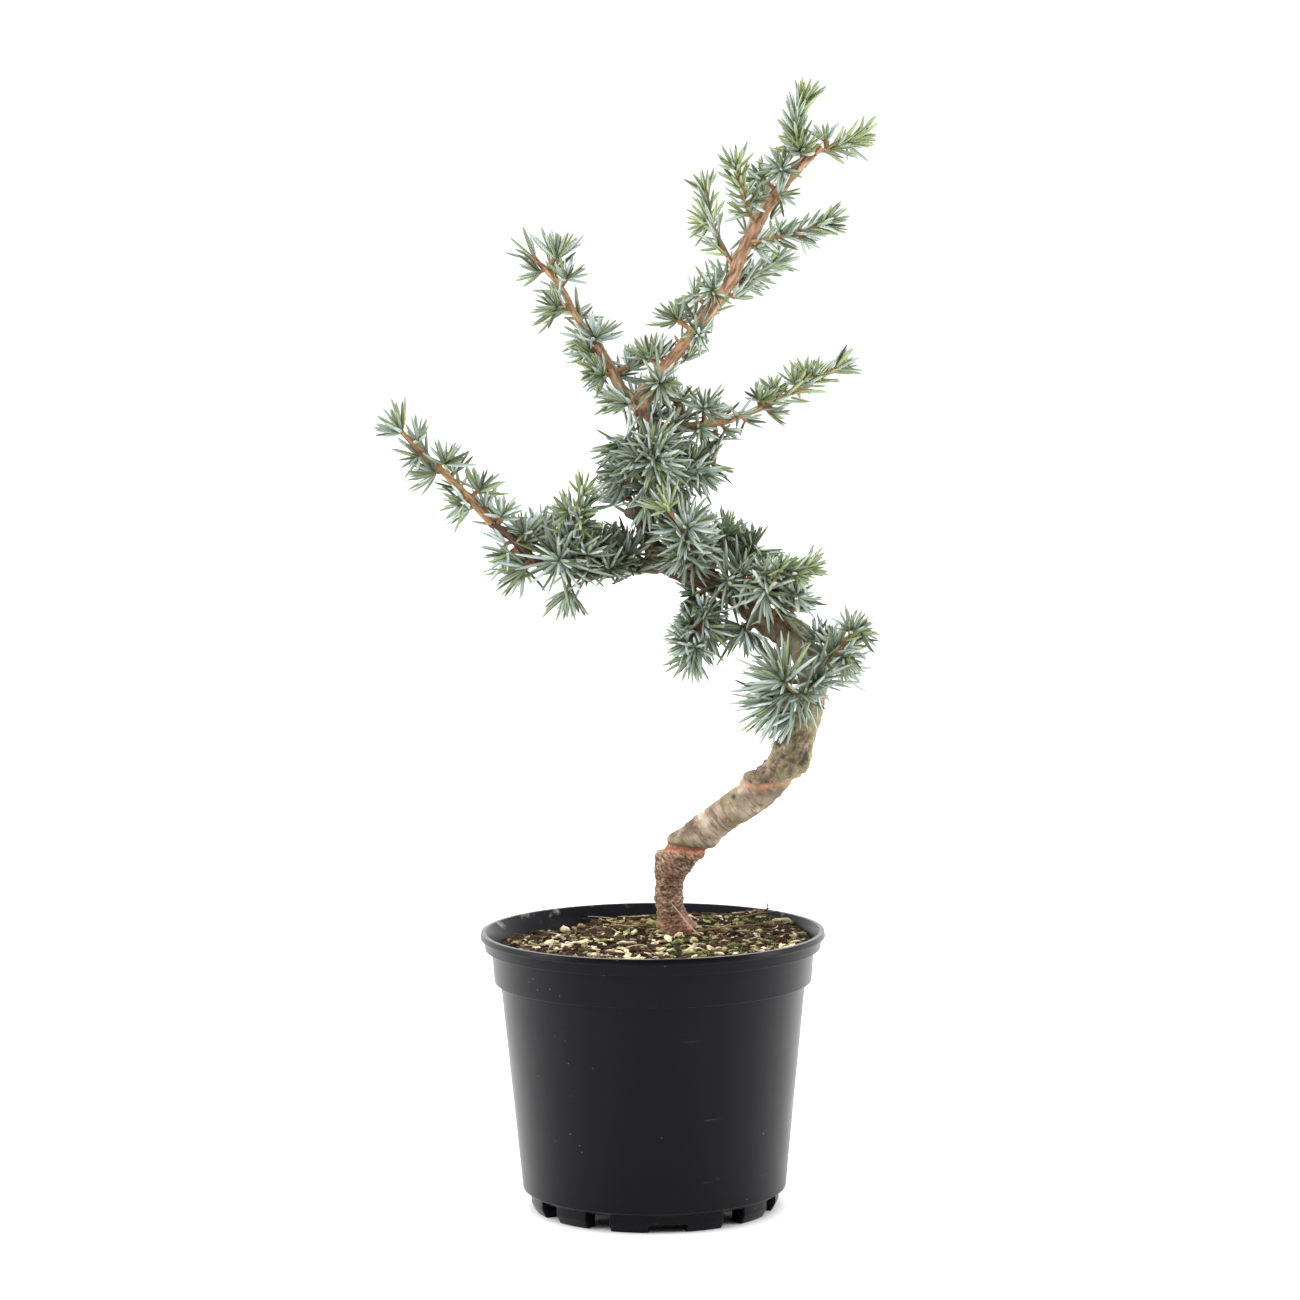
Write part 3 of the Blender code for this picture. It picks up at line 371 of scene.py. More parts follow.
def across(axis: Array) -> tuple[Array, Array]:
    """Returns two directions square to `axis` and to each other."""
    first = unit(np.cross(axis, (0, 0, 1) if abs(axis[2]) < 0.9 else (1, 0, 0)))
    return first, np.cross(axis, first)


def aim_at(axis: Array, polar: float, turn: float) -> Array:
    """Finds a direction at an angle to an axis.

    Args:
        axis: the axis.
        polar: the angle from it.
        turn: the turn about it.

    Returns:
        The direction.
    """
    first, second = across(axis)
    ring = first * math.cos(turn) + second * math.sin(turn)
    return axis * math.cos(polar) + ring * math.sin(polar)


def rod_distances(start: Array, end: Array, starts: Array, ends: Array) -> Array:
    """Measures from one segment to many.

    Args:
        start: one end of the segment.
        end: its other end.
        starts: the others' first ends.
        ends: their last ends.

    Returns:
        The least distance to each.
    """
    mine = end - start
    theirs = ends - starts
    between = start - starts
    a = mine @ mine
    e = (theirs * theirs).sum(axis=1)
    f = (theirs * between).sum(axis=1)
    c = between @ mine
    b = theirs @ mine
    spread = np.maximum(a * e - b * b, 1e-9)
    s = np.clip((b * f - c * e) / spread, 0, 1)
    t = np.clip((b * s + f) / e, 0, 1)
    s = np.clip((b * t - c) / a, 0, 1)
    gaps = between + mine * s[:, None] - theirs * t[:, None]
    return np.linalg.norm(gaps, axis=1)


class Limb:
    """A limb's middle line, sampled evenly, with its radius, heading and ring axes."""

    DENSE = 32

    def __init__(self, stations: Sequence[Station], step: float) -> None:
        """Samples the curve through the stations.

        Args:
            stations: rows of x, y, z and radius.
            step: the spacing of the samples.
        """
        rows = np.array(stations, dtype=float)
        padded = np.vstack((2 * rows[0] - rows[1], rows, 2 * rows[-1] - rows[-2]))
        shares = np.arange(self.DENSE)[:, None] / self.DENSE
        spans = []
        for before, start, end, after in zip(padded, padded[1:], padded[2:], padded[3:]):
            spans.append(0.5 * (
                2 * start + (end - before) * shares
                + (2 * before - 5 * start + 4 * end - after) * shares ** 2
                + (3 * start - before - 3 * end + after) * shares ** 3))
        dense = np.vstack(spans + [rows[-1:]])
        lengths = np.linalg.norm(np.diff(dense[:, :3], axis=0), axis=1)
        marks = np.concatenate(([0], np.cumsum(lengths)))
        self.length = float(marks[-1])
        count = max(2, round(self.length / step))
        self.marks = np.linspace(0, self.length, count + 1)
        table = np.stack([np.interp(self.marks, marks, column) for column in dense.T], axis=1)
        self.points, self.radii = table[:, :3], table[:, 3]
        self.tangents = np.gradient(self.points, axis=0)
        self.tangents /= np.linalg.norm(self.tangents, axis=1)[:, None]
        self.firsts, self.seconds = self._ring_axes()

    def _ring_axes(self) -> tuple[Array, Array]:
        """Carries two axes along the line without twisting them.

        Returns:
            The two axes of each ring.
        """
        first = across(self.tangents[0])[0]
        firsts = []
        for tangent in self.tangents:
            first = unit(first - tangent * (first @ tangent))
            firsts.append(first)
        rows = np.array(firsts)
        return rows, np.cross(self.tangents, rows)

    def at(self, mark: float) -> tuple[Array, Array, float]:
        """Reads the line at a distance along it.

        Args:
            mark: the distance.

        Returns:
            The point, the heading and the radius there.
        """
        point = np.array([np.interp(mark, self.marks, column) for column in self.points.T])
        heading = np.array([np.interp(mark, self.marks, column) for column in self.tangents.T])
        return point, unit(heading), float(np.interp(mark, self.marks, self.radii))

    def nearest(self, place: Sequence[float]) -> int:
        """Returns the number of the sample nearest to a place."""
        return int(np.argmin(np.linalg.norm(self.points - np.array(place), axis=1)))


@dataclass
class Thicket:
    """The limbs as round-ended rods, which needles keep clear of."""

    owners: list[str] = field(default_factory=list)
    rods: list[tuple[float, ...]] = field(default_factory=list)

    def add(self, owner: str, limb: Limb, stride: int) -> None:
        """Adds a limb as rods.

        Args:
            owner: the limb's name.
            limb: the limb.
            stride: how many samples a rod spans.
        """
        picks = [*range(0, len(limb.points) - 1, stride), len(limb.points) - 1]
        for start, end in zip(picks, picks[1:]):
            self.owners.append(owner)
            self.rods.append((*limb.points[start], *limb.points[end],
                              max(limb.radii[start], limb.radii[end])))

    def is_clear(self, start: Array, end: Array, margin: float, spare: str) -> bool:
        """Tells whether a rod passes the limbs.

        Args:
            start: its start.
            end: its end.
            margin: the air that it needs.
            spare: the limb that it may touch.

        Returns:
            Whether it touches none.
        """
        rods = np.array(self.rods)[[owner != spare for owner in self.owners]]
        gaps = rod_distances(start, end, rods[:, :3], rods[:, 3:6])
        return bool((gaps > rods[:, 6] + margin).all())


# ---- Finishes

Value = Union["Signal", float, Colour]


class Signal:
    """A value or colour in a finish's nodes. Arithmetic on it adds Math nodes."""

    def __init__(self, sheet: "NodeSheet", socket: NodeSocket) -> None:
        """Wraps an output socket of a node on `sheet`."""
        self.sheet = sheet
        self.socket = socket

    def _math(self, operation: str, first: Value, second: Value) -> "Signal":
        """Returns the result of one Math node."""
        return self.sheet.add("ShaderNodeMath", {"operation": operation}, {0: first, 1: second})

    def __add__(self, other: Value) -> "Signal":
        """Returns the sum."""
        return self._math("ADD", self, other)

    __radd__ = __add__

    def __sub__(self, other: Value) -> "Signal":
        """Returns the difference."""
        return self._math("SUBTRACT", self, other)

    def __rsub__(self, other: Value) -> "Signal":
        """Returns the reflected difference."""
        return self._math("SUBTRACT", other, self)

    def __mul__(self, other: Value) -> "Signal":
        """Returns the product."""
        return self._math("MULTIPLY", self, other)

    __rmul__ = __mul__

    def between(self, low: float, high: float) -> "Signal":
        """Steps smoothly from 0 to 1.

        Args:
            low: where it leaves 0.
            high: where it reaches 1.

        Returns:
            The step.
        """
        return self.sheet.add(
            "ShaderNodeMapRange", {"interpolation_type": "SMOOTHSTEP"},
            {"Value": self, "From Min": low, "From Max": high})


class NodeSheet:
    """A node tree that is filled node by node."""

    def __init__(self, tree: NodeTree) -> None:
        """Starts with the nodes that the tree has."""
        self.tree = tree

    def add(self, kind: str, settings: Optional[dict[str, Any]] = None,
            inputs: Optional[dict[Union[int, str], Value]] = None,
            output: Union[int, str] = 0) -> Signal:
        """Adds a node.

        Args:
            kind: the node's type.
            settings: its own settings; `stops` fills a colour ramp.
            inputs: the values or links of its sockets.
            output: which output is returned.

        Returns:
            The chosen output.
        """
        node = self.tree.nodes.new(kind)
        for name, value in (settings or {}).items():
            if name == "stops":
                self._fill_ramp(node.color_ramp, value)
            else:
                setattr(node, name, value)
        for name, value in (inputs or {}).items():
            self.feed(node.inputs[name], value)
        return Signal(self, node.outputs[output])

    def feed(self, socket: NodeSocket, value: Value) -> None:
        """Links or sets one input socket.

        Args:
            socket: the socket.
            value: its value or link.
        """
        if isinstance(value, Signal):
            self.tree.links.new(value.socket, socket)
        elif isinstance(value, tuple) and len(value) == 3 and socket.type == "RGBA":
            socket.default_value = (*value, 1)
        else:
            socket.default_value = value

    @staticmethod
    def _fill_ramp(ramp: ColorRamp, stops: Sequence[tuple[float, Colour]]) -> None:
        """Sets a colour ramp's stops.

        Args:
            ramp: the ramp.
            stops: the places and colours.
        """
        while len(ramp.elements) < len(stops):
            ramp.elements.new(1)
        for element, (place, colour) in zip(ramp.elements, stops):
            element.position = place
            element.color = (*colour, 1)


class FinishSheet(NodeSheet):
    """The node tree of one material, with its Principled shader."""

    def __init__(self, name: str) -> None:
        """Starts a material.

        Args:
            name: its name.
        """
        self.material = bpy.data.materials.new(name)
        self.material.use_nodes = True
        super().__init__(self.material.node_tree)
        self.shader = self.tree.nodes["Principled BSDF"]

    def place(self) -> Signal:
        """Returns the object coordinates."""
        return self.add("ShaderNodeTexCoord", output="Object")

    def attribute(self, name: str, output: str = "Fac") -> Signal:
        """Returns a mesh attribute."""
        return self.add("ShaderNodeAttribute", {"attribute_name": name}, output=output)

    def noise(self, vector: Signal, scale: Union[float, Colour], detail: float = 4.0,
              roughness: float = 0.55) -> Signal:
        """Adds fractal noise.

        Args:
            vector: where it is read.
            scale: its scale, or one for each axis.
            detail: its octaves.
            roughness: how much of the finer ones shows.

        Returns:
            A value from 0 to 1.
        """
        if isinstance(scale, tuple):
            vector = self.add(
                "ShaderNodeVectorMath", {"operation": "MULTIPLY"}, {0: vector, 1: scale})
            scale = 1
        return self.add(
            "ShaderNodeTexNoise", None,
            {"Vector": vector, "Scale": scale, "Detail": detail, "Roughness": roughness})

    def cells(self, vector: Signal, scale: float) -> Signal:
        """Returns the distance to the middle of the nearest of many cells."""
        return self.add(
            "ShaderNodeTexVoronoi", None, {"Vector": vector, "Scale": scale}, "Distance")

    def ramp(self, value: Signal, stops: Sequence[tuple[float, Colour]]) -> Signal:
        """Returns the colour that a ramp gives a value."""
        return self.add("ShaderNodeValToRGB", {"stops": stops}, {0: value})

    def mix(self, factor: Value, first: Value, second: Value) -> Signal:
        """Returns a mix of two colours."""
        return self.add(
            "ShaderNodeMix", {"data_type": "RGBA"}, {0: factor, 6: first, 7: second}, 2)

    def finish(self, colour: Value, roughness: Value, height: Optional[Signal] = None,
               bump: float = 0.0, depth: float = 0.0005, **constants: Any) -> Material:
        """Feeds the shader.

        Args:
            colour: the base colour.
            roughness: the roughness.
            height: the relief, if there is any.
            bump: the strength of the relief.
            depth: the depth of the relief in metres.
            constants: values for other sockets, by name with _ for a space.

        Returns:
            The material.
        """
        self.feed(self.shader.inputs["Base Color"], colour)
        self.feed(self.shader.inputs["Roughness"], roughness)
        for name, value in constants.items():
            self.shader.inputs[name.replace("_", " ")].default_value = value
        if height is not None:
            normal = self.add(
                "ShaderNodeBump", None, {"Strength": bump, "Distance": depth, "Height": height})
            self.feed(self.shader.inputs["Normal"], normal)
        return self.material


@dataclass(frozen=True)
class PotPlastic:
    """Black blown plastic: satin, a little mottled, with dust specks and fine scuffs."""

    name: str
    colour: Colour = (0.0024, 0.0023, 0.0031)
    dust: Colour = (0.2, 0.2, 0.19)
    roughness: float = 0.33
    stain: float = 0.0
    shine: float = 0.5

    def make(self) -> Material:
        """Mixes dust, scuffs and stains into the black.

        Returns:
            The material.
        """
        sheet = FinishSheet(self.name)
        place = sheet.place()
        mottle = sheet.noise(place, 26, 5)
        specks = sheet.cells(place, 190)
        thin = sheet.noise(place, 31, 2).between(0.56, 0.66)
        dots = (0.085 - specks).between(0, 0.03) * thin
        scratches = sheet.noise(place, (34, 34, 260), 3)
        scuffs = scratches.between(0.66, 0.74) * sheet.noise(place, 19).between(0.52, 0.64)
        colour = sheet.mix(mottle, self.colour, tuple(1.5 * part for part in self.colour))
        colour = sheet.mix(scuffs * 0.1, colour, self.dust)
        colour = sheet.mix(dots * 0.45, colour, self.dust)
        if self.stain:
            runs = sheet.noise(place, (140, 140, 30), 4)
            blot = sheet.noise(place, 85, 6).between(0.56, 0.68) * runs.between(0.4, 0.62)
            colour = sheet.mix(blot * self.stain, colour, (0.27, 0.26, 0.22))
        rough = mottle * 0.16 + scuffs * 0.12 + (self.roughness - 0.08)
        grain = sheet.noise(place, 900, 3) + mottle * 2
        return sheet.finish(colour, rough, grain, 0.1, 0.0004, IOR=1.29,
                            Specular_IOR_Level=self.shine, Specular_Tint=(0.44, 0.42, 0.46, 1))


@dataclass(frozen=True)
class TrunkBark:
    """Bark of the trunk: scaly foot, smooth pale stretch, furrowed brown above, orange tip."""

    name: str = "cedar_trunk_bark"

    def make(self) -> Material:
        """Lays the zones over each other by the mesh's own grain and attributes.

        Returns:
            The material.
        """
        sheet = FinishSheet(self.name)
        grain = sheet.attribute("grain", "Vector")
        broad = sheet.noise(grain, (60, 60, 90), 5)
        fine = sheet.noise(grain, (420, 420, 900), 5, 0.7)
        rings = sheet.noise(grain, (90, 90, 720), 3, 0.6)
        streaks = sheet.noise(grain, (560, 560, 110), 5, 0.65)
        patches = sheet.noise(grain, (170, 170, 85), 6, 0.68)
        stains = sheet.noise(grain, (75, 75, 42), 3)
        colour = self._smooth(sheet, broad, stains, rings, fine)
        colour = sheet.mix(sheet.attribute("flaky"), colour, self._flaky(sheet, fine, rings))
        colour = sheet.mix(
            (sheet.attribute("shaded") + (patches - 0.5) * 1.3).between(0.38, 0.62),
            colour, self._fissured(sheet, patches, fine, stains))
        # The brown ramp's dark stops are partly the bark's own colour and partly painted shade
        # under the crown.
        brown = sheet.ramp(streaks * 0.7 + patches * 0.3, (
            (0.38, (0.032, 0.016, 0.009)), (0.48, (0.11, 0.055, 0.032)),
            (0.57, (0.225, 0.122, 0.072)), (0.67, (0.42, 0.275, 0.175))))
        colour = sheet.mix(sheet.attribute("brown"), colour, brown)
        twig = sheet.ramp(streaks * 0.75 + broad * 0.25, (
            (0.37, (0.06, 0.028, 0.014)), (0.45, (0.2, 0.102, 0.052)),
            (0.53, (0.35, 0.2, 0.11)), (0.66, (0.56, 0.39, 0.25))))
        colour = sheet.mix(sheet.attribute("young"), colour, twig)
        colour = sheet.mix(sheet.attribute("groove") * 0.92, colour, sheet.ramp(fine, (
            (0.32, (0.09, 0.026, 0.014)), (0.52, (0.26, 0.086, 0.05)),
            (0.68, (0.42, 0.19, 0.12)))))
        colour = sheet.mix(sheet.attribute("scar"), colour, sheet.ramp(fine, (
            (0.34, (0.4, 0.125, 0.05)), (0.66, (0.74, 0.37, 0.21)))))
        # Dark knot pits and the groove's upper edge, and painted shade in the crown's hollow.
        colour = sheet.mix(sheet.attribute("pit"), colour, (0.03, 0.018, 0.011))
        relief = fine * (sheet.attribute("flaky") * 0.8 + 0.35) + rings * 0.4 + patches * 0.5
        return sheet.finish(colour, fine * 0.12 + 0.7, relief, 0.8, 0.0008)

    @staticmethod
    def _smooth(sheet: FinishSheet, broad: Signal, stains: Signal, rings: Signal,
                fine: Signal) -> Signal:
        """Paints pale bark with olive stains and fine brown rings.

        Args:
            sheet: the bark's sheet.
            broad: its broad grain.
            stains: where it is stained.
            rings: its rings.
            fine: its fine grain.

        Returns:
            The colour.
        """
        smooth = sheet.ramp(broad, (
            (0.38, (0.09, 0.058, 0.034)), (0.49, (0.235, 0.172, 0.116)),
            (0.64, (0.5, 0.41, 0.32))))
        smooth = sheet.mix(stains.between(0.46, 0.58) * 0.75, smooth, (0.23, 0.212, 0.105))
        smooth = sheet.mix(rings.between(0.53, 0.62) * 0.72, smooth, (0.125, 0.07, 0.04))
        return sheet.mix(fine.between(0.6, 0.72) * 0.55, smooth, (0.58, 0.51, 0.43))

    @staticmethod
    def _flaky(sheet: FinishSheet, fine: Signal, rings: Signal) -> Signal:
        """Paints brown, scaly bark.

        Args:
            sheet: the bark's sheet.
            fine: its fine grain.
            rings: its rings.

        Returns:
            The colour.
        """
        scales = sheet.ramp(fine, (
            (0.35, (0.022, 0.012, 0.006)), (0.46, (0.135, 0.072, 0.042)),
            (0.55, (0.315, 0.2, 0.122)), (0.68, (0.61, 0.46, 0.33))))
        scales = sheet.mix(rings.between(0.5, 0.6) * 0.55, scales, (0.055, 0.026, 0.016))
        rust = sheet.attribute("rust") * 0.75
        return sheet.mix(rust, scales, sheet.ramp(fine, (
            (0.34, (0.08, 0.026, 0.014)), (0.62, (0.42, 0.19, 0.12)))))

    @staticmethod
    def _fissured(sheet: FinishSheet, patches: Signal, fine: Signal, stains: Signal) -> Signal:
        """Paints dark, furrowed bark with olive and rusty plates.

        Args:
            sheet: the bark's sheet.
            patches: its plates.
            fine: its fine grain.
            stains: where it is stained.

        Returns:
            The colour.
        """
        plates = sheet.ramp(patches * 0.7 + fine * 0.3, (
            (0.39, (0.022, 0.015, 0.008)), (0.47, (0.105, 0.076, 0.042)),
            (0.55, (0.27, 0.2, 0.126)), (0.64, (0.48, 0.38, 0.27))))
        plates = sheet.mix(stains.between(0.52, 0.62) * 0.6, plates, (0.19, 0.195, 0.08))
        return sheet.mix(fine.between(0.6, 0.7) * 0.6, plates, (0.34, 0.17, 0.11))


@dataclass(frozen=True)
class TwigBark:
    """Orange-brown bark of young wood, streaked along the grain."""

    name: str
    dark: Colour = (0.07, 0.032, 0.015)
    middle: Colour = (0.27, 0.138, 0.066)
    light: Colour = (0.5, 0.33, 0.19)

    def make(self) -> Material:
        """Streaks the colours along the grain.

        Returns:
            The material.
        """
        sheet = FinishSheet(self.name)
        grain = sheet.attribute("grain", "Vector")
        streaks = sheet.noise(grain, (700, 700, 170), 4)
        patches = sheet.noise(grain, (120, 120, 120), 2)
        colour = sheet.ramp(streaks * 0.7 + patches * 0.3, (
            (0.36, self.dark), (0.5, self.middle), (0.64, self.light)))
        return sheet.finish(colour, streaks * 0.2 + 0.58, streaks, 0.4, 0.0004)


@dataclass(frozen=True)
class PlainBit:
    """Finish of many small things: one base colour, with roughness that varies."""

    name: str
    colour: Colour
    roughness: float = 0.6
    grain: float = 900.0

    def make(self) -> Material:
        """Returns the material."""
        sheet = FinishSheet(self.name)
        return sheet.finish(self.colour, sheet.noise(sheet.place(), self.grain, 2) * 0.3
                            + (self.roughness - 0.15))


@dataclass(frozen=True)
class MixedEarth:
    """A crumbly finish between two colours, for peat, chips and moss."""

    name: str
    low: Colour
    high: Colour
    scale: float = 420.0
    bump: float = 0.6

    def make(self) -> Material:
        """Crumbles one colour into the other.

        Returns:
            The material.
        """
        sheet = FinishSheet(self.name)
        place = sheet.place()
        crumbs = sheet.noise(place, self.scale, 5, 0.65)
        broad = sheet.noise(place, self.scale / 9, 2)
        colour = sheet.ramp(crumbs * 0.6 + broad * 0.4, ((0.38, self.low), (0.62, self.high)))
        return sheet.finish(colour, crumbs * 0.1 + 0.84, crumbs, self.bump, 0.0006,
                            Specular_IOR_Level=0.12)


@dataclass(frozen=True)
class StudioWhite:
    """The white floor of a product studio."""

    name: str = "studio_white"
    colour: Colour = (0.9, 0.9, 0.9)

    def make(self) -> Material:
        """Returns the material."""
        sheet = FinishSheet(self.name)
        return sheet.finish(self.colour, sheet.noise(sheet.place(), 3) * 0.1 + 0.75)


# ---- Mesh making


def place_piece(name: str, mesh: Mesh, materials: Sequence[Material],
                replaced: Sequence[str] = ()) -> None:
    """Puts a finished mesh into the scene as a piece of the plant or its pot.

    Args:
        name: the piece's name.
        mesh: its mesh, in metres.
        materials: its finishes, in slot order.
        replaced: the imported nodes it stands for.
    """
    mesh.name = name
    for material in materials:
        mesh.materials.append(material)
    piece = bpy.data.objects.new(name, mesh)
    bpy.context.scene.collection.objects.link(piece)
    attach(piece, BODY)
    if replaced:
        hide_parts(*replaced)
    mesh.calc_loop_triangles()
    LOG.info("%s: %d triangles", name, len(mesh.loop_triangles))


def mesh_of(builder: BMesh, scale: float = MM) -> Mesh:
    """Turns a bmesh, which it frees, into a smooth mesh.

    Args:
        builder: the bmesh.
        scale: its unit, in metres.

    Returns:
        The mesh.
    """
    bmesh.ops.scale(builder, vec=(scale,) * 3, verts=builder.verts)
    mesh = bpy.data.meshes.new("made")
    builder.to_mesh(mesh)
    builder.free()
    mesh.shade_smooth()
    return mesh


@dataclass
class Pattern:
    """A small closed shape that is copied many times: corners, faces and face finishes."""

    corners: Array
    faces: Array
    counts: Array
    finishes: Array

    @classmethod
    def of(cls, builder: BMesh, finish: Callable[[BMFace], int] = lambda face: 0) -> "Pattern":
        """Reads a bmesh, which it frees.

        Args:
            builder: the shape.
            finish: gives a face's finish.

        Returns:
            The pattern.
        """
        bmesh.ops.recalc_face_normals(builder, faces=builder.faces)
        builder.verts.index_update()
        builder.verts.ensure_lookup_table()
        corners = np.array([vertex.co[:] for vertex in builder.verts])
        faces = [vertex.index for face in builder.faces for vertex in face.verts]
        counts = [len(face.verts) for face in builder.faces]
        finishes = [finish(face) for face in builder.faces]
        builder.free()
        return cls(corners, np.array(faces), np.array(counts), np.array(finishes))


def joined(pattern_runs: Iterable[tuple[Pattern, Array]]) -> Mesh:
    """Joins arrays of copies into one mesh.

    Args:
        pattern_runs: pairs of a pattern and the corners of its copies, (copy, corner, 3), in mm.

    Returns:
        The mesh, in metres, shaded smooth.
    """
    corners, faces, counts, finishes = [], [], [], []
    first = 0
    for pattern, copies in pattern_runs:
        if not len(copies):
            continue
        number, width = copies.shape[:2]
        corners.append(copies.reshape(-1, 3))
        offsets = first + np.arange(number) * width
        faces.append((pattern.faces[None, :] + offsets[:, None]).ravel())
        counts.append(np.tile(pattern.counts, number))
        finishes.append(np.tile(pattern.finishes, number))
        first += number * width
    places = np.concatenate(corners) * MM
    loops = np.concatenate(faces)
    sizes = np.concatenate(counts)
    mesh = bpy.data.meshes.new("joined")
    mesh.vertices.add(len(places))
    mesh.vertices.foreach_set("co", places.ravel())
    mesh.loops.add(len(loops))
    mesh.loops.foreach_set("vertex_index", loops)
    mesh.polygons.add(len(sizes))
    mesh.polygons.foreach_set("loop_start", np.concatenate(([0], np.cumsum(sizes)[:-1])))
    mesh.polygons.foreach_set("material_index", np.concatenate(finishes))
    mesh.update(calc_edges=True)
    mesh.validate()
    mesh.shade_smooth()
    return mesh


def swept(points: Sequence[Sequence[float]], radii: Sequence[float], sides: int,
          pointed: bool = False) -> BMesh:
    """Extrudes a ring along a chain of points.

    Args:
        points: the middle line.
        radii: the radius at each point.
        sides: corners of the ring.
        pointed: draws the last ring to a point.

    Returns:
        The closed tube.
    """
    builder = bmesh.new()
    tangents = np.gradient(np.array(points, dtype=float), axis=0)
    heading = Vector(tangents[0]).normalized()
    frame = heading.to_track_quat("Z", "Y")
    ring = bmesh.ops.create_circle(builder, cap_ends=True, segments=sides, radius=1)["verts"]
    cap = builder.faces[:]
    for number, (point, radius, tangent) in enumerate(zip(points, radii, tangents)):
        if number:
            turned = Vector(tangent).normalized()
            frame = heading.rotation_difference(turned) @ frame
            heading = turned
            grown = bmesh.ops.extrude_face_region(builder, geom=cap)
            if number > 1:
                bmesh.ops.delete(builder, geom=cap, context="FACES_ONLY")
            cap = [item for item in grown["geom"] if isinstance(item, BMFace)]
            ring = [item for item in grown["geom"] if isinstance(item, BMVert)]
        for corner, vertex in enumerate(cap[0].verts):
            angle = math.tau * corner / sides
            flat = Vector((math.cos(angle), math.sin(angle), 0)) * radius
            vertex.co = frame @ flat + Vector(point)
    if pointed:
        bmesh.ops.pointmerge(builder, verts=ring, merge_co=Vector(points[-1]))
    return builder


@dataclass(frozen=True)
class Corners:
    """The corners of a skin of bark, a row of each array for every corner, in mm.

    The grain follows the bark, twice across it and once along it. Marks are distances along
    the limb, middles are places on its middle line and plain ones on its plain surface.
    """

    grain: Array
    marks: Array
    angles: Array
    radii: Array
    middles: Array
    plain: Array


Relief = Callable[[Corners], Array]


def layered_noise(rows: Array, octaves: int = 3) -> Array:
    """Returns fractal noise, about -1 to 1, at each row of coordinates."""
    return np.array([noise.fractal(Vector(row), 0.9, 2.1, octaves) for row in rows])


def crack_depth(rows: Array) -> Array:
    """Works out how near places lie to the borders of cells.

    Args:
        rows: the places.

    Returns:
        1 on a border, falling to 0 well inside a cell.
    """
    depths = []
    for row in rows:
        near = noise.voronoi(Vector(row))[0]
        depths.append(max(0, 1 - (near[1] - near[0]) * 4))
    return np.array(depths)


@dataclass
class Wrap:
    """A skin of bark round a limb, made from a flat grid that is rolled up.

    Args:
        limb: the middle line.
        sides: how many columns go round.
        relief: gives each corner's height in mm.
        zones: gives each corner a value from 0 to 1, for each attribute.
    """

    limb: Limb
    sides: int
    relief: Relief
    zones: dict[str, Relief] = field(default_factory=dict)

    def build(self) -> BMesh:
        """Rolls the grid round the limb and closes its ends.

        Returns:
            The closed skin, in mm, with its grain and zone attributes.
        """
        builder = bmesh.new()
        grain_layer = builder.verts.layers.float_vector.new("grain")
        zone_layers = {name: builder.verts.layers.float.new(name) for name in self.zones}
        bmesh.ops.create_grid(
            builder, x_segments=self.sides, y_segments=len(self.limb.marks) - 1, size=0.5)
        flat = np.array([vertex.co[:] for vertex in builder.verts])
        angles = (flat[:, 0] + 0.5) * math.tau
        rings = np.rint((flat[:, 1] + 0.5) * (len(self.limb.marks) - 1)).astype(int)
        marks, radii = self.limb.marks[rings], self.limb.radii[rings]
        middles = self.limb.points[rings]
        outward = (self.limb.firsts[rings] * np.cos(angles)[:, None]
                   + self.limb.seconds[rings] * np.sin(angles)[:, None])
        grain = np.stack((radii * np.cos(angles), radii * np.sin(angles), marks), axis=1)
        at = Corners(grain, marks, angles, radii, middles, middles + outward * radii[:, None])
        places = middles + outward * (radii + self.relief(at))[:, None]
        zones = {name: zone(at) for name, zone in self.zones.items()}
        for number, vertex in enumerate(builder.verts):
            vertex.co = places[number]
            vertex[grain_layer] = Vector(grain[number] * MM)
            for name, layer in zone_layers.items():
                vertex[layer] = float(zones[name][number])
        bmesh.ops.remove_doubles(builder, verts=builder.verts, dist=0.001)
        rims = [edge for edge in builder.edges if edge.is_boundary]
        bmesh.ops.holes_fill(builder, edges=rims, sides=0)
        caps = [face for face in builder.faces if len(face.verts) > 4]
        bmesh.ops.poke(builder, faces=caps)
        bmesh.ops.recalc_face_normals(builder, faces=builder.faces)
        return builder


def merged(builders: Iterable[BMesh]) -> Mesh:
    """Joins several bmeshes, which it frees.

    Args:
        builders: the bmeshes, in mm.

    Returns:
        One smooth mesh, in metres.
    """
    whole = bmesh.new()
    whole.verts.layers.float_vector.new("grain")
    for builder in builders:
        part = bpy.data.meshes.new("part")
        builder.to_mesh(part)
        builder.free()
        whole.from_mesh(part)
        bpy.data.meshes.remove(part)
    return mesh_of(whole)


# ---- The limbs


@dataclass(frozen=True)
class Girdle:
    """A line round the trunk where a training tie once cut in.

    Args:
        mark: how far along the trunk it lies.
        slant: how steeply it crosses the trunk.
        turn: the angle round the trunk at which it lies highest.
    """

    mark: float
    slant: float
    turn: float

    def away(self, at: Corners) -> Array:
        """Returns how far above the line each corner lies."""
        return at.marks - self.mark - self.slant * at.radii * np.cos(at.angles - self.turn)


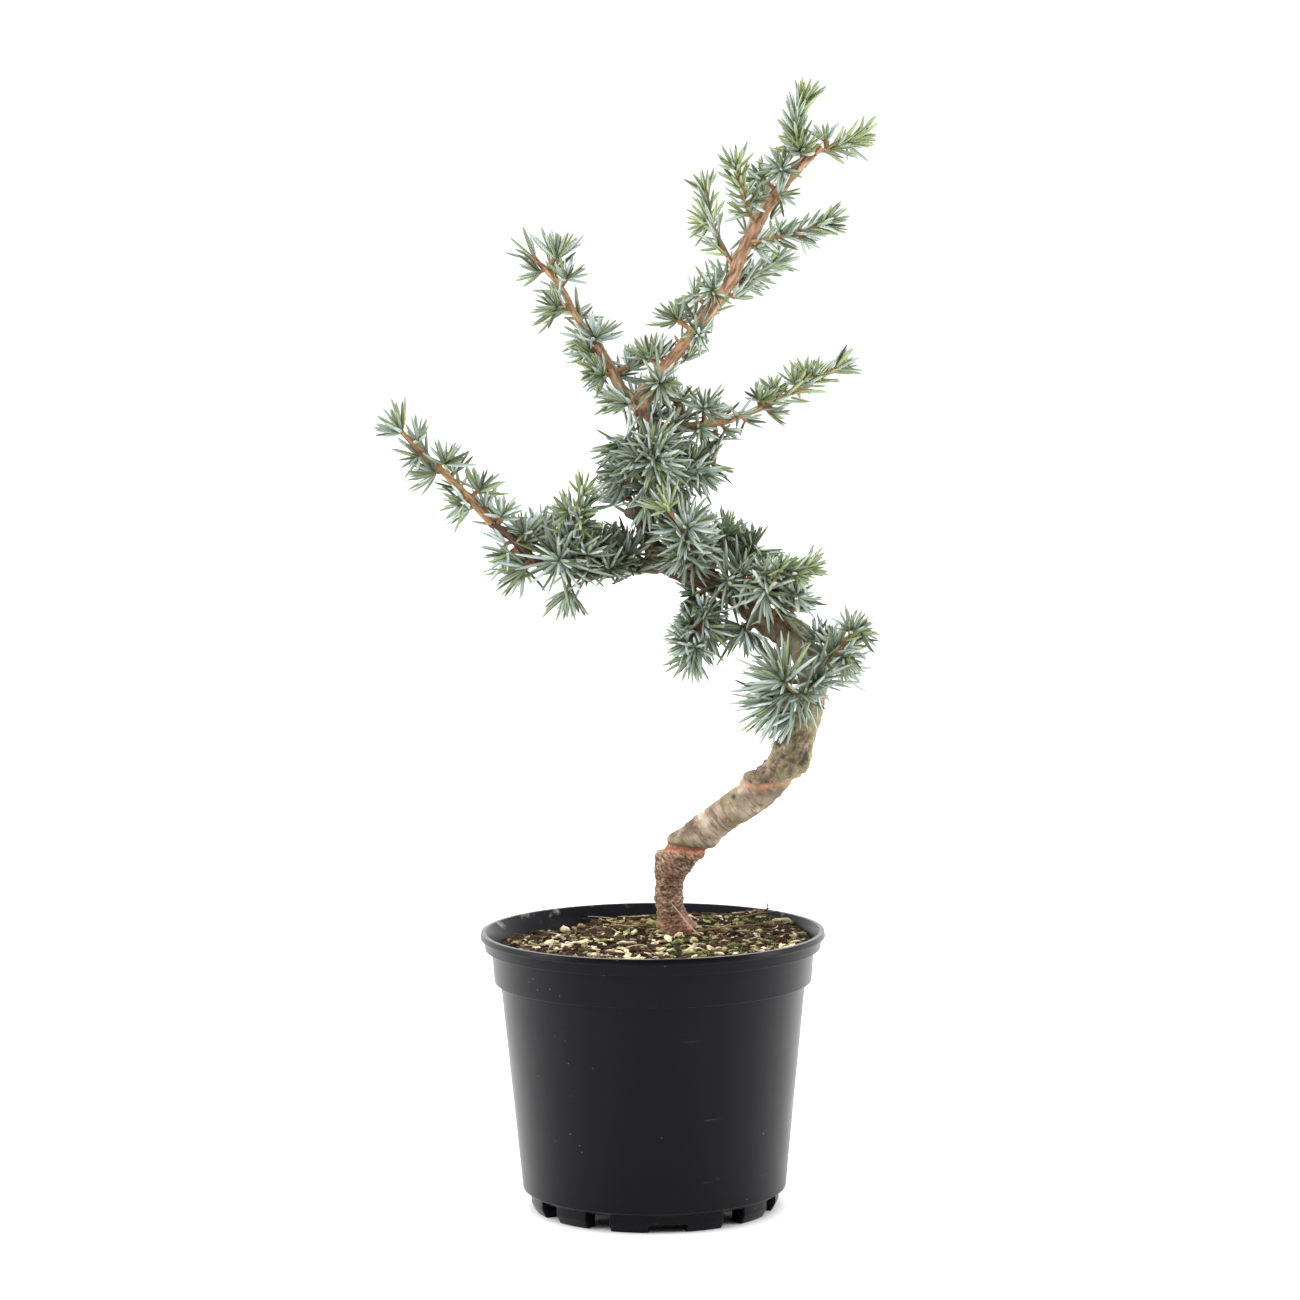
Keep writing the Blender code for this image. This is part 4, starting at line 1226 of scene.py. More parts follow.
@dataclass
class TrunkAndBoughs:
    """The bark of the trunk, the boughs and the cut stub, with their cut faces.

    Marks are distances along the trunk from the soil. Spots are x, height and radius of small
    round features on the side that faces the front.
    """

    step: float = 0.95
    sides: int = 56
    bough_sides: int = 26
    root_lobes: int = 5
    root_flare: float = 15.0
    lobe_depth: float = 3.2
    groove: Girdle = Girdle(47.4, 0.8, -1.85)
    groove_half: float = 2.3
    upper_scar: Girdle = Girdle(98.5, 1.25, -1.97)
    shaded_top: float = 143.0
    brown_from: float = 196.0
    young_from: float = 352.0
    # Where along the trunk the painted shade of the crown's hollow is darkest.
    painted_shade_at: float = 250.0
    knots: tuple[tuple[Place, float, float], ...] = (
        ((40.5, -2, 203), 3, 1.6), ((52, -5, 208), 2.8, 1.3), ((77, -5, 219), 6, 3.1),
        ((45.5, 1, 213), 6.5, 2.2), ((60, 0, 229), 2.7, 2.8), ((54, -1, 221.5), 2.3, 1.4),
        ((69, -8, 231), 4, 1.2), ((62, -7, 214), 5, 1.3), ((16, 7, 183), 4.5, 1.2),
        ((26, 9, 199), 2.6, 1), ((43, -2, 190), 4, 1.2), ((3, 18, 150), 3, 1),
        ((19, 14, 166), 3.5, 0.8), ((66, 6, 284), 4, 1.4), ((49, 10, 292), 3.5, 1.2),
        ((-6, 8, 330), 3, 1), ((2, -1, 396), 2.5, 1.2), ((-3, -3, 400), 2.4, 1.2),
        ((-6, 2, 376), 2.6, 1.1), ((2, 1, 370), 2.2, 1), ((20, -6, 428), 1.8, 0.8),
        ((40, -7, 457), 1.8, 0.9), ((52, 1, 483), 2, 1), ((74, 6, 512), 1.8, 1))
    lenticels: tuple[Place, ...] = (
        (33.4, 186.7, 0.6), (38, 189.2, 0.6), (39.3, 192.5, 0.6), (42.8, 192.5, 0.6),
        (37.6, 200.6, 0.5), (40.6, 197.3, 0.5), (33.2, 196.7, 0.5), (26.1, 193.4, 0.7),
        (30.2, 183.5, 0.5), (36, 205, 0.5), (10, 171.5, 0.6), (21, 189, 0.5), (-2.6, 396.2, 1.6),
        (0.8, 386.8, 1.2), (48.5, 195.5, 0.5), (53, 198.5, 0.5))
    pits: tuple[Place, ...] = (
        (40.5, 203.2, 1.15), (76, 217.5, 1), (49, 211, 0.8), (69.5, 238, 0.9), (14, 147, 0.9),
        (55, 216, 0.7), (18.5, 178, 0.5), (62.5, 229.5, 1))
    trunk: Limb = field(init=False)
    limbs: dict[str, Limb] = field(init=False)

    def __post_init__(self) -> None:
        """Samples every middle line."""
        self.trunk = Limb(TRUNK, self.step)
        self.limbs = {"trunk": self.trunk}
        for name, stations in BOUGHS.items():
            self.limbs[name] = Limb(self._sunk(stations), self.step * 0.8)

    def _sunk(self, stations: Sequence[Station]) -> list[Station]:
        """Sinks a bough's collar into the trunk and swells it.

        Args:
            stations: the bough's stations.

        Returns:
            The new stations.
        """
        start, after = np.array(stations[0], dtype=float), np.array(stations[1], dtype=float)
        collar = start.copy()
        collar[3] *= 1.35
        neck = start + (after - start) * 0.35
        neck[3] = start[3] * 1.08
        return [tuple(collar), tuple(neck), *stations[1:]]

    def relief(self, at: Corners) -> Array:
        """Shapes the trunk's bark.

        Args:
            at: its corners.

        Returns:
            The height of each over the plain radius.
        """
        grain, marks = at.grain, at.marks
        age = np.clip(1 - marks / self.trunk.length, 0, 1)
        foot, rough, brown = self.flaky(at), self.shaded(at), self.brown(at)
        lumps = layered_noise(grain * (0.1, 0.1, 0.07), 2) * (0.25 + 0.75 * age)
        ridges = layered_noise(grain * (0.45, 0.45, 0.1) + 7, 2) * 0.22 * age
        rings = layered_noise(grain * (0.07, 0.07, 0.55) + 3, 3) * (0.22 + 0.34 * age)
        scales = crack_depth(grain * (0.34, 0.34, 0.62)) * foot * 0.75
        plates = crack_depth(grain * (0.3, 0.3, 0.13)) * (rough * 1 + brown * 0.45)
        crumbs = layered_noise(grain * (1.1, 1.1, 0.8), 2) * (
            0.1 + 0.24 * foot + 0.34 * rough + 0.12 * brown)
        height = lumps * 0.8 + ridges + rings - scales - plates + crumbs
        away = self.groove.away(at)
        height -= 1.5 / (1 + np.exp((np.abs(away) - self.groove_half) / 0.35))
        height += np.exp(-((away + 4.6) / 2) ** 2) * 1 + np.exp(-((away - 6) / 3) ** 2)
        upper = self.upper_scar.away(at)
        height -= np.exp(-(upper / 1.5) ** 2) * 0.8
        height += rough * np.exp(-((upper - 6) / 5) ** 2) * 0.8
        flare = np.clip(1 - marks / self.root_flare, 0, 1)
        height -= self.lobe_depth * flare * (0.5 - 0.5 * np.cos(self.root_lobes * at.angles))
        height += flare ** 2 * 1.8
        return height + self._knot_height(at)

    def _knot_height(self, at: Corners) -> Array:
        """Raises the knots, each with a dimple in its middle.

        Args:
            at: the places.

        Returns:
            The heights.
        """
        total = np.zeros(len(at.marks))
        for place, width, height in self.knots:
            away = np.linalg.norm(at.plain - np.array(place, dtype=float), axis=1) / width
            total += height * (np.exp(-away ** 2) - 0.7 * np.exp(-(away * 3.2) ** 2))
        return total

    @staticmethod
    def _spots(at: Corners, spots: Sequence[Place]) -> Array:
        """Marks small round spots on the front.

        Args:
            at: the bark's corners.
            spots: x, height and radius of each.

        Returns:
            How strongly each corner lies in one, from 0 to 1.
        """
        facing = at.plain[:, 1] < at.middles[:, 1]
        total = np.zeros(len(at.marks))
        for x, z, radius in spots:
            away = np.hypot(at.plain[:, 0] - x, at.plain[:, 2] - z) / radius
            total = np.maximum(total, np.clip(1.6 - away, 0, 1) * facing)
        return total

    def flaky(self, at: Corners) -> Array:
        """Returns 1 on the scaly foot, up to the lower tie's groove."""
        return np.clip(0.5 - self.groove.away(at) / 1.5, 0, 1)

    @staticmethod
    def rust(at: Corners) -> Array:
        """Returns where the foot is rusty: round the roots, and in patches."""
        patches = np.clip(layered_noise(at.grain * (0.14, 0.14, 0.08) + 11, 2) * 1.2, 0, 0.35)
        return np.maximum(np.clip((17 - at.marks) / 14, 0, 1), patches)

    def shaded(self, at: Corners) -> Array:
        """Finds where the bark is dark and furrowed: above the upper tie, most at the left.

        Args:
            at: the places.

        Returns:
            How much of it, from 0 to 1.
        """
        wander = layered_noise(at.grain * (0.12, 0.12, 0.08) + 5, 3) * 0.7
        low = np.clip((self.upper_scar.away(at) + wander * 4 - 2) / 3, 0, 1)
        high = np.clip((self.shaded_top - at.marks) / 22, 0, 1)
        knuckle = 0.55 * np.cos(at.angles + math.pi / 2) * np.exp(-((at.marks - 112) / 12) ** 2)
        return low * np.clip(high * 1.3 + wander - knuckle, 0, 1)

    def brown(self, at: Corners) -> Array:
        """Finds where the trunk is furrowed and brown, from the bend on up.

        Args:
            at: the places.

        Returns:
            How brown, from 0 to 1.
        """
        wander = layered_noise(at.grain * (0.1, 0.1, 0.05) + 13, 2) * 26
        patches = np.clip(layered_noise(at.grain * (0.12, 0.12, 0.06) + 17, 2) * 2, 0, 0.8)
        upper = np.clip((at.marks + wander - self.brown_from) / 20, 0, 1)
        fade = np.clip((at.marks - self.shaded_top) / 12, 0, 1)
        return np.maximum(upper, patches * fade)

    def young(self, at: Corners) -> Array:
        """Returns where the leader is young and orange."""
        return np.clip((at.marks - self.young_from) / 26 + 0.5, 0, 1)

    def groove_floor(self, at: Corners) -> Array:
        """Returns the red-brown floor of the lower tie's groove."""
        away = np.abs(self.groove.away(at))
        return 1 / (1 + np.exp((away - self.groove_half - 0.2) / 0.25))

    def scar(self, at: Corners) -> Array:
        """Finds the orange inner bark: along the ties, and in lenticels and pruning cuts.

        Args:
            at: the places.

        Returns:
            How orange, from 0 to 1.
        """
        patch = np.clip(layered_noise(at.grain * (0.25, 0.25, 0.25), 2) * 1.5 + 1, 0.35, 1)
        lower = np.exp(-((self.groove.away(at) + 1.9) / 0.7) ** 2)
        upper = np.exp(-(self.upper_scar.away(at) / 1.9) ** 2)
        bands = np.clip((lower + upper * 0.75) * patch, 0, 1)
        return np.maximum(bands, self._spots(at, self.lenticels) * 0.55)

    def pit(self, at: Corners) -> Array:
        """Finds the dark places: the groove's upper edge and old knots, and painted shade where
        the trunk runs through the crown's hollow.

        Args:
            at: the places.

        Returns:
            How dark, from 0 to 1.
        """
        edge = np.exp(-((self.groove.away(at) - 2.2) / 0.55) ** 2) * 0.8
        # Painted shade: darker bark where the trunk runs under the crown.
        hollow = np.exp(-((at.marks - self.painted_shade_at) / 20) ** 2) * 0.72
        return np.maximum(np.maximum(edge, hollow), self._spots(at, self.pits))

    @staticmethod
    def bough_relief(at: Corners) -> Array:
        """Shapes a bough's bark: lumps, ridges and ring scars.

        Args:
            at: the places.

        Returns:
            The heights.
        """
        lumps = layered_noise(at.grain * (0.22, 0.22, 0.12), 2) * 0.35
        ridges = layered_noise(at.grain * (0.9, 0.9, 0.22) + 9, 2) * 0.14
        rings = layered_noise(at.grain * (0.15, 0.15, 0.9) + 2, 2) * 0.12
        return lumps + ridges + rings

    def build(self, bark: Material, finishes: dict[str, Material]) -> None:
        """Builds and dresses the trunk and every bough.

        Args:
            bark: the trunk's finish.
            finishes: the finish of each bough.
        """
        skin = Wrap(self.trunk, self.sides, self.relief, {
            "flaky": self.flaky, "rust": self.rust, "shaded": self.shaded, "brown": self.brown,
            "young": self.young, "groove": self.groove_floor, "scar": self.scar,
            "pit": self.pit}).build()
        foot = TRUNK[0][2]
        for vertex in skin.verts:
            if vertex.co.z < foot + 1:
                vertex.co.z = foot
        place_piece("trunk_bark", mesh_of(skin), (bark,), ("trunk",))
        for name, finish in finishes.items():
            wrap = Wrap(self.limbs[name], self.bough_sides, self.bough_relief)
            place_piece(f"{name}_bark", mesh_of(wrap.build()), (finish,), (name,))


# ---- Needles and shoots


class Tone(Enum):
    """The needle colours, each its own piece: base colour of the blade and of its bloom."""

    DEEP = ("needles_deep", (0.05, 0.061, 0.022), (0.096, 0.117, 0.066))
    OLD = ("needles_old", (0.125, 0.154, 0.07), (0.252, 0.308, 0.238))
    BLUE = ("needles_blue", (0.205, 0.255, 0.165), (0.41, 0.482, 0.44))
    PALE = ("needles_pale", (0.3, 0.365, 0.27), (0.55, 0.628, 0.585))
    GREEN = ("needles_green", (0.125, 0.154, 0.034), (0.27, 0.33, 0.165))
    FRESH = ("needles_fresh", (0.195, 0.235, 0.064), (0.375, 0.45, 0.24))
    DRY = ("needles_dry", (0.3, 0.21, 0.09), (0.42, 0.31, 0.16))


@dataclass(frozen=True)
class Spray:
    """How one kind of spray is dealt its tones: weights in the order given."""

    tones: tuple[tuple[Tone, float], ...]

    def deal(self, dice: random.Random) -> Tone:
        """Returns a tone at random by weight."""
        names = [tone for tone, _ in self.tones]
        return dice.choices(names, [weight for _, weight in self.tones])[0]


OLD_SPRAY = Spray(((Tone.OLD, 4), (Tone.BLUE, 5), (Tone.PALE, 2), (Tone.DEEP, 2),
                   (Tone.GREEN, 1), (Tone.DRY, 0.06)))
# Painted shade: dark tones for the whorls in the crown's hollow.
PAINTED_SHADE_SPRAY = Spray(((Tone.DEEP, 6), (Tone.OLD, 3), (Tone.BLUE, 0.7)))
INNER_SPRAY = Spray(((Tone.DEEP, 4), (Tone.OLD, 5), (Tone.BLUE, 2), (Tone.GREEN, 1)))
YOUNG_SPRAY = Spray(((Tone.BLUE, 4.2), (Tone.GREEN, 2.9), (Tone.PALE, 0.7), (Tone.OLD, 3.2),
                     (Tone.DEEP, 1.8), (Tone.DRY, 0.05)))
SPRING_SPRAY = Spray(((Tone.FRESH, 3.4), (Tone.GREEN, 4.2), (Tone.PALE, 0.4),
                      (Tone.BLUE, 1.8), (Tone.OLD, 1.7), (Tone.DEEP, 0.5)))


@dataclass(frozen=True)
class Mass:
    """One packed mass while it is grown: its node's name, the spray of its tones, its dice."""

    name: str
    spray: Spray
    dice: random.Random


@dataclass
class Needles:
    """All needles of the plant, gathered by tone and made into one piece for each.

    Sizes are in millimetres; shares are of a needle's length.
    """

    sides: int = 6
    width: float = 0.95
    flatten: float = 0.8
    stations: tuple[Pair, ...] = (
        (0, 0.5), (0.08, 0.8), (0.3, 1), (0.58, 0.97), (0.8, 0.76), (0.93, 0.42), (1, 0))
    steepest: float = 16.0
    opening: float = 0.75
    margin: float = 0.25
    rows: dict[Tone, list[tuple[float, ...]]] = field(
        default_factory=lambda: {tone: [] for tone in Tone})
    low: Array = field(default_factory=lambda: np.full(3, -1e9))
    high: Array = field(default_factory=lambda: np.full(3, 1e9))

    def pattern(self) -> Pattern:
        """Makes one needle along Z, a unit long.

        Returns:
            The needle, with blade faces, bloom faces and a tan tip.
        """
        heights = [height for height, _ in self.stations]
        widths = [max(width, 0.02) for _, width in self.stations]
        builder = swept([(0, 0, height) for height in heights], widths, self.sides, True)
        return Pattern.of(builder, self._finish_of)

    def _finish_of(self, face: BMFace) -> int:
        """Tells the finish of one face of a needle.

        Args:
            face: the face.

        Returns:
            0 on the blade, 1 on its bloom and 2 at the tan tip.
        """
        middle = face.calc_center_median()
        if middle.z > 0.96:
            return 2
        side = int((math.atan2(middle.y, middle.x) % math.tau) / math.tau * self.sides)
        return int(side % 3 > 0)

    def add(self, dice: random.Random, tone: Tone, root: Array, aim: Array,
            length: float, lean: Array) -> None:
        """Adds one needle.

        Args:
            dice: the spray's own dice.
            tone: its colour.
            root: where it springs from.
            aim: its direction at the root.
            length: its length.
            lean: the direction it bends to, times the bend as a share of its length.
        """
        tip = root + (aim + lean) * length
        if (tip < self.low).any() or (tip > self.high).any():
            length *= 0.82
            tip = root + (aim + lean) * length
            if (tip < self.low).any() or (tip > self.high).any():
                return
        width = self.width * dice.uniform(0.85, 1.12) * (0.75 + 0.25 * min(1, length / 16))
        self.rows[tone].append((*root, *aim, *lean, length, width, dice.uniform(0, math.tau)))

    def grow(self, pattern: Pattern, rows: Array) -> Array:
        """Copies the needle.

        Args:
            pattern: the needle.
            rows: root, aim, lean, length, width and roll of each copy.

        Returns:
            The corners of each copy.
        """
        root, aim, lean = rows[:, 0:3], rows[:, 3:6], rows[:, 6:9]
        length, width, roll = rows[:, 9], rows[:, 10], rows[:, 11]
        helper = np.where(np.abs(aim[:, 2:3]) < 0.9, (0, 0, 1), (1, 0, 0))
        first = np.cross(aim, helper)
        first /= np.linalg.norm(first, axis=1)[:, None]
        second = np.cross(aim, first)
        turned = first * np.cos(roll)[:, None] + second * np.sin(roll)[:, None]
        other = (second * np.cos(roll)[:, None] - first * np.sin(roll)[:, None]) * self.flatten
        x, y, z = pattern.corners.T
        copies = root[:, None, :] + aim[:, None, :] * (z[:, None] * length[:, None, None])
        copies += turned[:, None, :] * (x[:, None] * width[:, None, None])
        copies += other[:, None, :] * (y[:, None] * width[:, None, None])
        copies += lean[:, None, :] * (z[:, None] ** 2 * length[:, None, None])
        return copies

    def build(self, replaced: dict[Tone, set[str]]) -> None:
        """Makes one piece of every tone.

        Args:
            replaced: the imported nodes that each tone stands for.
        """
        pattern = self.pattern()
        tip = PlainBit("needle_tip", (0.36, 0.36, 0.24), 0.6).make()
        for tone, rows in self.rows.items():
            name, blade, bloom = tone.value
            finishes = (PlainBit(name + "_blade", blade, 0.5).make(),
                        PlainBit(name + "_bloom", bloom, 0.62).make(), tip)
            mesh = joined([(pattern, self.grow(pattern, np.array(rows)))])
            place_piece(name, mesh, finishes, sorted(replaced[tone]))
            LOG.info("%s: %d needles", name, len(rows))


@dataclass
class Foliage:
    """Spurs, shoots and needles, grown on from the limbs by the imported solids' rule."""

    wood: TrunkAndBoughs
    needles: Needles = field(default_factory=Needles)
    rosette_density: float = 3.0
    tuft_density: float = 2.8
    singles_density: float = 3.0
    tuft_reach: float = 1.06
    spur_radius: float = 1.25
    bud_radius: float = 1.5
    shoot_last_share: float = 0.62
    shoot_step: float = 0.75
    shoot_sides: int = 14
    shorter: tuple[float, ...] = (1, 0.82)
    thicket: Thicket = field(default_factory=Thicket)
    spurs: list[tuple[Array, Array, float]] = field(default_factory=list)
    pegs: list[tuple[Array, Array, float]] = field(default_factory=list)
    stems: list[BMesh] = field(default_factory=list)
    owners: dict[Tone, set[str]] = field(default_factory=lambda: {tone: set() for tone in Tone})
    shoots: dict[str, Limb] = field(default_factory=dict)
    balls: list[tuple[str, Array, float]] = field(default_factory=list)

    def __post_init__(self) -> None:
        """Places the shoots' middle lines, so that every needle can keep clear of them."""
        for name, limb in self.wood.limbs.items():
            self.thicket.add(name, limb, 7)
        for name, plan in SHOOTS.items():
            last = len(plan.route) - 1
            carrier = self.wood.limbs[plan.carrier]
            rows = np.array(plan.route, dtype=float)
            rows[0] = carrier.points[carrier.nearest(rows[0])]
            stations = [
                (*place, plan.girth * (1 - (1 - self.shoot_last_share) * number / last))
                for number, place in enumerate(rows)]
            self.shoots[name] = Limb(stations, self.shoot_step)
            self.thicket.add(name, self.shoots[name], 6)
        self.mark_reach()

    def mark_reach(self) -> None:
        """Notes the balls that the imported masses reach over: one for each whorl and tuft."""
        for carrier, plans in ROSETTES.items():
            for number, plan in enumerate(plans, 1):
                self.balls.append(
                    (f"{carrier}_needles_{number}", np.array(plan.heart), plan.length))
        for name, plan in SHOOTS.items():
            limb = self.shoots[name]
            self.balls.append((name, limb.points[-1], plan.tip_length))
            for rosette in plan.rosettes:
                self.balls.append((name, np.array(rosette.heart), rosette.length))
            side = (plan.length or plan.tip_length) * (1 if plan.whorls else 0.92)
            start = int(plan.first * len(limb.points)) if plan.whorls or plan.singles else 0
            if plan.whorls or plan.singles:
                for point in limb.points[start::6]:
                    self.balls.append((name, point, side))

    def within_reach(self, tip: Array) -> bool:
        """Tells whether a needle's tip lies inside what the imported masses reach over.

        Args:
            tip: the tip.

        Returns:
            Whether it does.
        """
        hearts = np.array([heart for _, heart, _ in self.balls])
        reaches = np.array([reach for _, _, reach in self.balls])
        return bool((np.linalg.norm(hearts - tip, axis=1) <= reaches * 1.02).any())

    @staticmethod
    def leaves_air(place: Array) -> bool:
        """Tells whether a place lies outside the gaps between the sprays."""
        return all(((place[0] - x) / wide) ** 2 + ((place[2] - z) / tall) ** 2 > 1
                   for x, z, wide, tall in GAPS)

    def mass_near(self, place: Array) -> str:
        """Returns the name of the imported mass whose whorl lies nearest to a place."""
        gaps = [float(np.linalg.norm(heart - place)) for _, heart, _ in self.balls]
        return self.balls[int(np.argmin(gaps))][0]

    def run(self, owner: str, limb: Limb, plan: Run, seed: int) -> None:
        """Sets small spurs along a stretch of a limb, by the golden turn, inside the reach.

        Args:
            owner: the limb's name.
            limb: the limb.
            plan: the stretch.
            seed: seeds its dice.
        """
        dice = random.Random(seed)
        count = int((plan.last - plan.first) / plan.spacing)
        phase = dice.uniform(0, math.tau)
        for number in range(count):
            mark = plan.first + (plan.last - plan.first) * (number + 0.5) / count
            point, tangent, radius = limb.at(mark + dice.gauss(0, 0.8))
            tilt = math.radians(dice.uniform(*plan.tilts))
            aim = aim_at(tangent, tilt, phase + number * GOLDEN_TURN)
            outward = unit(aim - tangent * (aim @ tangent))
            if not plan.bare.grows(outward):
                continue
            stand = radius + plan.spur * dice.uniform(0.55, 1.15)
            heart = point + outward * stand + tangent * dice.uniform(0, 2)
            shoot = SHOOTS.get(owner)
            name = owner if shoot else self.mass_near(heart)
            late = shoot and shoot.spring and mark > limb.length * 0.7
            spray = SPRING_SPRAY if late else self.shade_spray(heart)
            bud = Rosette(heart, aim, plan.needles, plan.length, plan.flattest)
            if self.whorl(Mass(name, spray, dice), bud, kept_in=True):
                self.spurs.append((point + outward * (radius - 1), heart + aim * 0.8,
                                   self.spur_radius * 0.85))

    @staticmethod
    def shade_spray(heart: Array) -> Spray:
        """Picks the spray for a whorl: painted shade in the crown's hollow, dark at the back of
        the crown, young on top.

        Args:
            heart: its heart.

        Returns:
            The spray.
        """
        x, y, height = heart
        # Painted shade: the whorls in the crown's hollow get the darkest spray.
        if math.hypot(x + 10, height - 321) < 16:
            return PAINTED_SHADE_SPRAY
        if y > 12 and height < 345:
            return INNER_SPRAY
        return OLD_SPRAY if height < 400 else YOUNG_SPRAY

    def needle(self, mass: Mass, root: Array, aim: Array, length: float, lean: Array,
               spare: str, kept_in: bool = False) -> bool:
        """Adds one needle, shortened where it would touch a limb.

        Args:
            mass: the mass that it is part of.
            root: where it springs from.
            aim: its direction there.
            length: its length.
            lean: how it bends.
            spare: the limb that it may touch.
            kept_in: whether its tip has to lie within the reach.

        Returns:
            Whether it fits.
        """
        tone = mass.spray.deal(mass.dice)
        for share in self.shorter:
            tip = root + (aim + lean) * length * share
            middle = root + (aim + lean * 0.6) * length * share * 0.6
            if not self.leaves_air(tip) or not self.leaves_air(middle):
                continue
            if kept_in and not self.within_reach(tip):
                continue
            if self.thicket.is_clear(root + aim * length * 0.22, tip, self.needles.margin, spare):
                self.needles.add(mass.dice, tone, root, aim, length * share, lean)
                self.owners[tone].add(mass.name)
                return True
        return False

    def whorl(self, mass: Mass, bud: Rosette, spare: str = "", kept_in: bool = False) -> bool:
        """Adds needles round a bud, from nearly along its axis to lying back round its collar.

        Args:
            mass: the mass that it is part of.
            bud: where it stands and points, and its needles. Its aim has length one.
            spare: the limb that the bud ends, which its needles may touch.
            kept_in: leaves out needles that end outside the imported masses' reach.

        Returns:
            Whether enough of them fit to keep the bud.
        """
        dice, heart, axis = mass.dice, bud.heart, bud.aim
        if not self.leaves_air(heart):
            return False
        phase = dice.uniform(0, math.tau)
        fitted = 0
        for number in range(bud.needles):
            share = (number + 0.5) / bud.needles
            opening = (bud.flattest - self.needles.steepest) * share ** self.needles.opening
            polar = math.radians(self.needles.steepest + opening + dice.gauss(0, 3.5))
            turn = phase + number * GOLDEN_TURN + dice.gauss(0, 0.1)
            aim = aim_at(axis, polar, turn)
            reach = bud.length * dice.uniform(0.88, 1.07) * (0.58 + 0.42 * share ** 0.55)
            inward = axis - aim * (axis @ aim)
            wild = np.array([dice.gauss(0, 0.028) for _ in range(3)])
            lean = inward * dice.uniform(-0.04, 0.34) * math.sin(polar) + wild
            root = heart + aim * 0.7 + axis * (0.5 - share) * 1.2
            fitted += self.needle(mass, root, aim, reach, lean, spare, kept_in)
        return fitted > 0.4 * bud.needles

    def rosette(self, name: str, plan: Rosette, carrier: Limb, seed: int) -> None:
        """Adds one whorl on its spur, seated in its carrier's bark.

        Args:
            name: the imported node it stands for.
            plan: the whorl.
            carrier: the limb it stands on.
            seed: seeds its dice.
        """
        dice = random.Random(seed)
        heart = np.array(plan.heart, dtype=float)
        nearest = carrier.nearest(heart)
        foot, heading = carrier.points[nearest], carrier.tangents[nearest]
        outward = heart - foot
        outward = unit(outward - heading * (outward @ heading) * 0.999)
        least = carrier.radii[nearest] + 0.3 + self.bud_radius + 1.8
        if np.linalg.norm(heart - foot) < least:
            heart = foot + outward * least
        axis = unit(plan.aim)
        base = foot + outward * (carrier.radii[nearest] - 1.2)
        bud = Rosette(heart, axis, round(plan.needles * self.rosette_density), plan.length,
                      plan.flattest)
        if self.whorl(Mass(name, self.shade_spray(heart), dice), bud):
            self.spurs.append((base, heart + axis * 0.8, self.spur_radius))

    def shoot(self, name: str, plan: Shoot, seed: int) -> None:
        """Adds one shoot: its stem, side whorls on spurs, single needles and a tuft.

        Args:
            name: the shoot's name.
            plan: the shoot.
            seed: seeds its dice.
        """
        dice = random.Random(seed)
        limb = self.shoots[name]
        self.stems.append(Wrap(limb, self.shoot_sides, self.stem_relief).build())
        mass = Mass(name, SPRING_SPRAY if plan.spring else YOUNG_SPRAY, dice)
        lower = Mass(name, OLD_SPRAY if plan.length > 16 else YOUNG_SPRAY, dice)
        tip, ahead = limb.points[-1], limb.tangents[-1]
        self.spurs.append((tip - ahead * 1.5, tip + ahead * 1.6, limb.radii[-1] * 1.25))
        self.whorl(mass, Rosette(
            tip - ahead * 0.8, ahead, round(plan.tuft * self.tuft_density),
            plan.tip_length * self.tuft_reach, plan.spread), name)
        for rosette in plan.rosettes:
            heart, axis = np.array(rosette.heart, dtype=float), unit(rosette.aim)
            foot = limb.points[limb.nearest(heart)]
            self.spurs.append((foot, heart + axis * 0.8, self.spur_radius * 0.9))
            self.whorl(mass, Rosette(
                heart, axis, round(rosette.needles * self.rosette_density), rosette.length,
                rosette.flattest))
        phase = dice.uniform(0, math.tau)
        for number in range(plan.whorls):
            share = plan.first + (0.88 - plan.first) * (number + 0.35) / plan.whorls
            point, tangent, _ = limb.at(share * limb.length)
            side = aim_at(tangent, math.radians(72), phase + number * GOLDEN_TURN)
            heart = point + side * 3.4
            self.spurs.append((point, heart + side * 0.8, self.spur_radius * 0.9))
            self.whorl(lower, Rosette(
                heart, side, round(plan.whorl_needles * self.rosette_density), plan.length, 92))
        self.single_needles(mass, plan, limb, phase)

    def single_needles(self, mass: Mass, plan: Shoot, limb: Limb, phase: float) -> None:
        """Sets needles singly along a shoot, each on a peg of its own.

        Args:
            mass: the shoot's mass.
            plan: the shoot.
            limb: its middle line.
            phase: where its golden turns start.
        """
        dice = mass.dice
        count = round(plan.singles * self.singles_density)
        length = plan.length or plan.tip_length
        for number in range(count):
            share = plan.first + (0.96 - plan.first) * (number + 0.5) / count
            point, tangent, radius = limb.at(share * limb.length)
            polar = math.radians(plan.fan - 20 * share + dice.gauss(0, 5))
            aim = aim_at(tangent, polar, phase + number * GOLDEN_TURN)
            outward = unit(aim - tangent * (aim @ tangent))
            root = point + outward * radius * 0.8
            reach = (length + (plan.tip_length - length) * share) * dice.uniform(0.78, 1)
            lean = tangent * dice.uniform(0, 0.16)
            self.pegs.append((point + outward * radius * 0.5, aim, 0.48))
            self.needle(mass, root, aim, reach, lean, mass.name)
        bare = int(limb.length / 1.7)
        for number in range(bare):
            point, tangent, radius = limb.at(limb.length * (number + 0.5) / bare)
            aim = aim_at(tangent, math.radians(50), phase + 1 + number * GOLDEN_TURN)
            outward = unit(aim - tangent * (aim @ tangent))
            self.pegs.append((point + outward * radius * 0.65, aim, 0.42))

    @staticmethod
    def stem_relief(at: Corners) -> Array:
        """Shapes a shoot's bark: fine ridges that wind round it, and swellings."""
        ridges = np.cos(5 * at.angles - at.marks * 0.22) * 0.07
        return ridges + layered_noise(at.grain * (0.5, 0.5, 0.35), 2) * 0.16

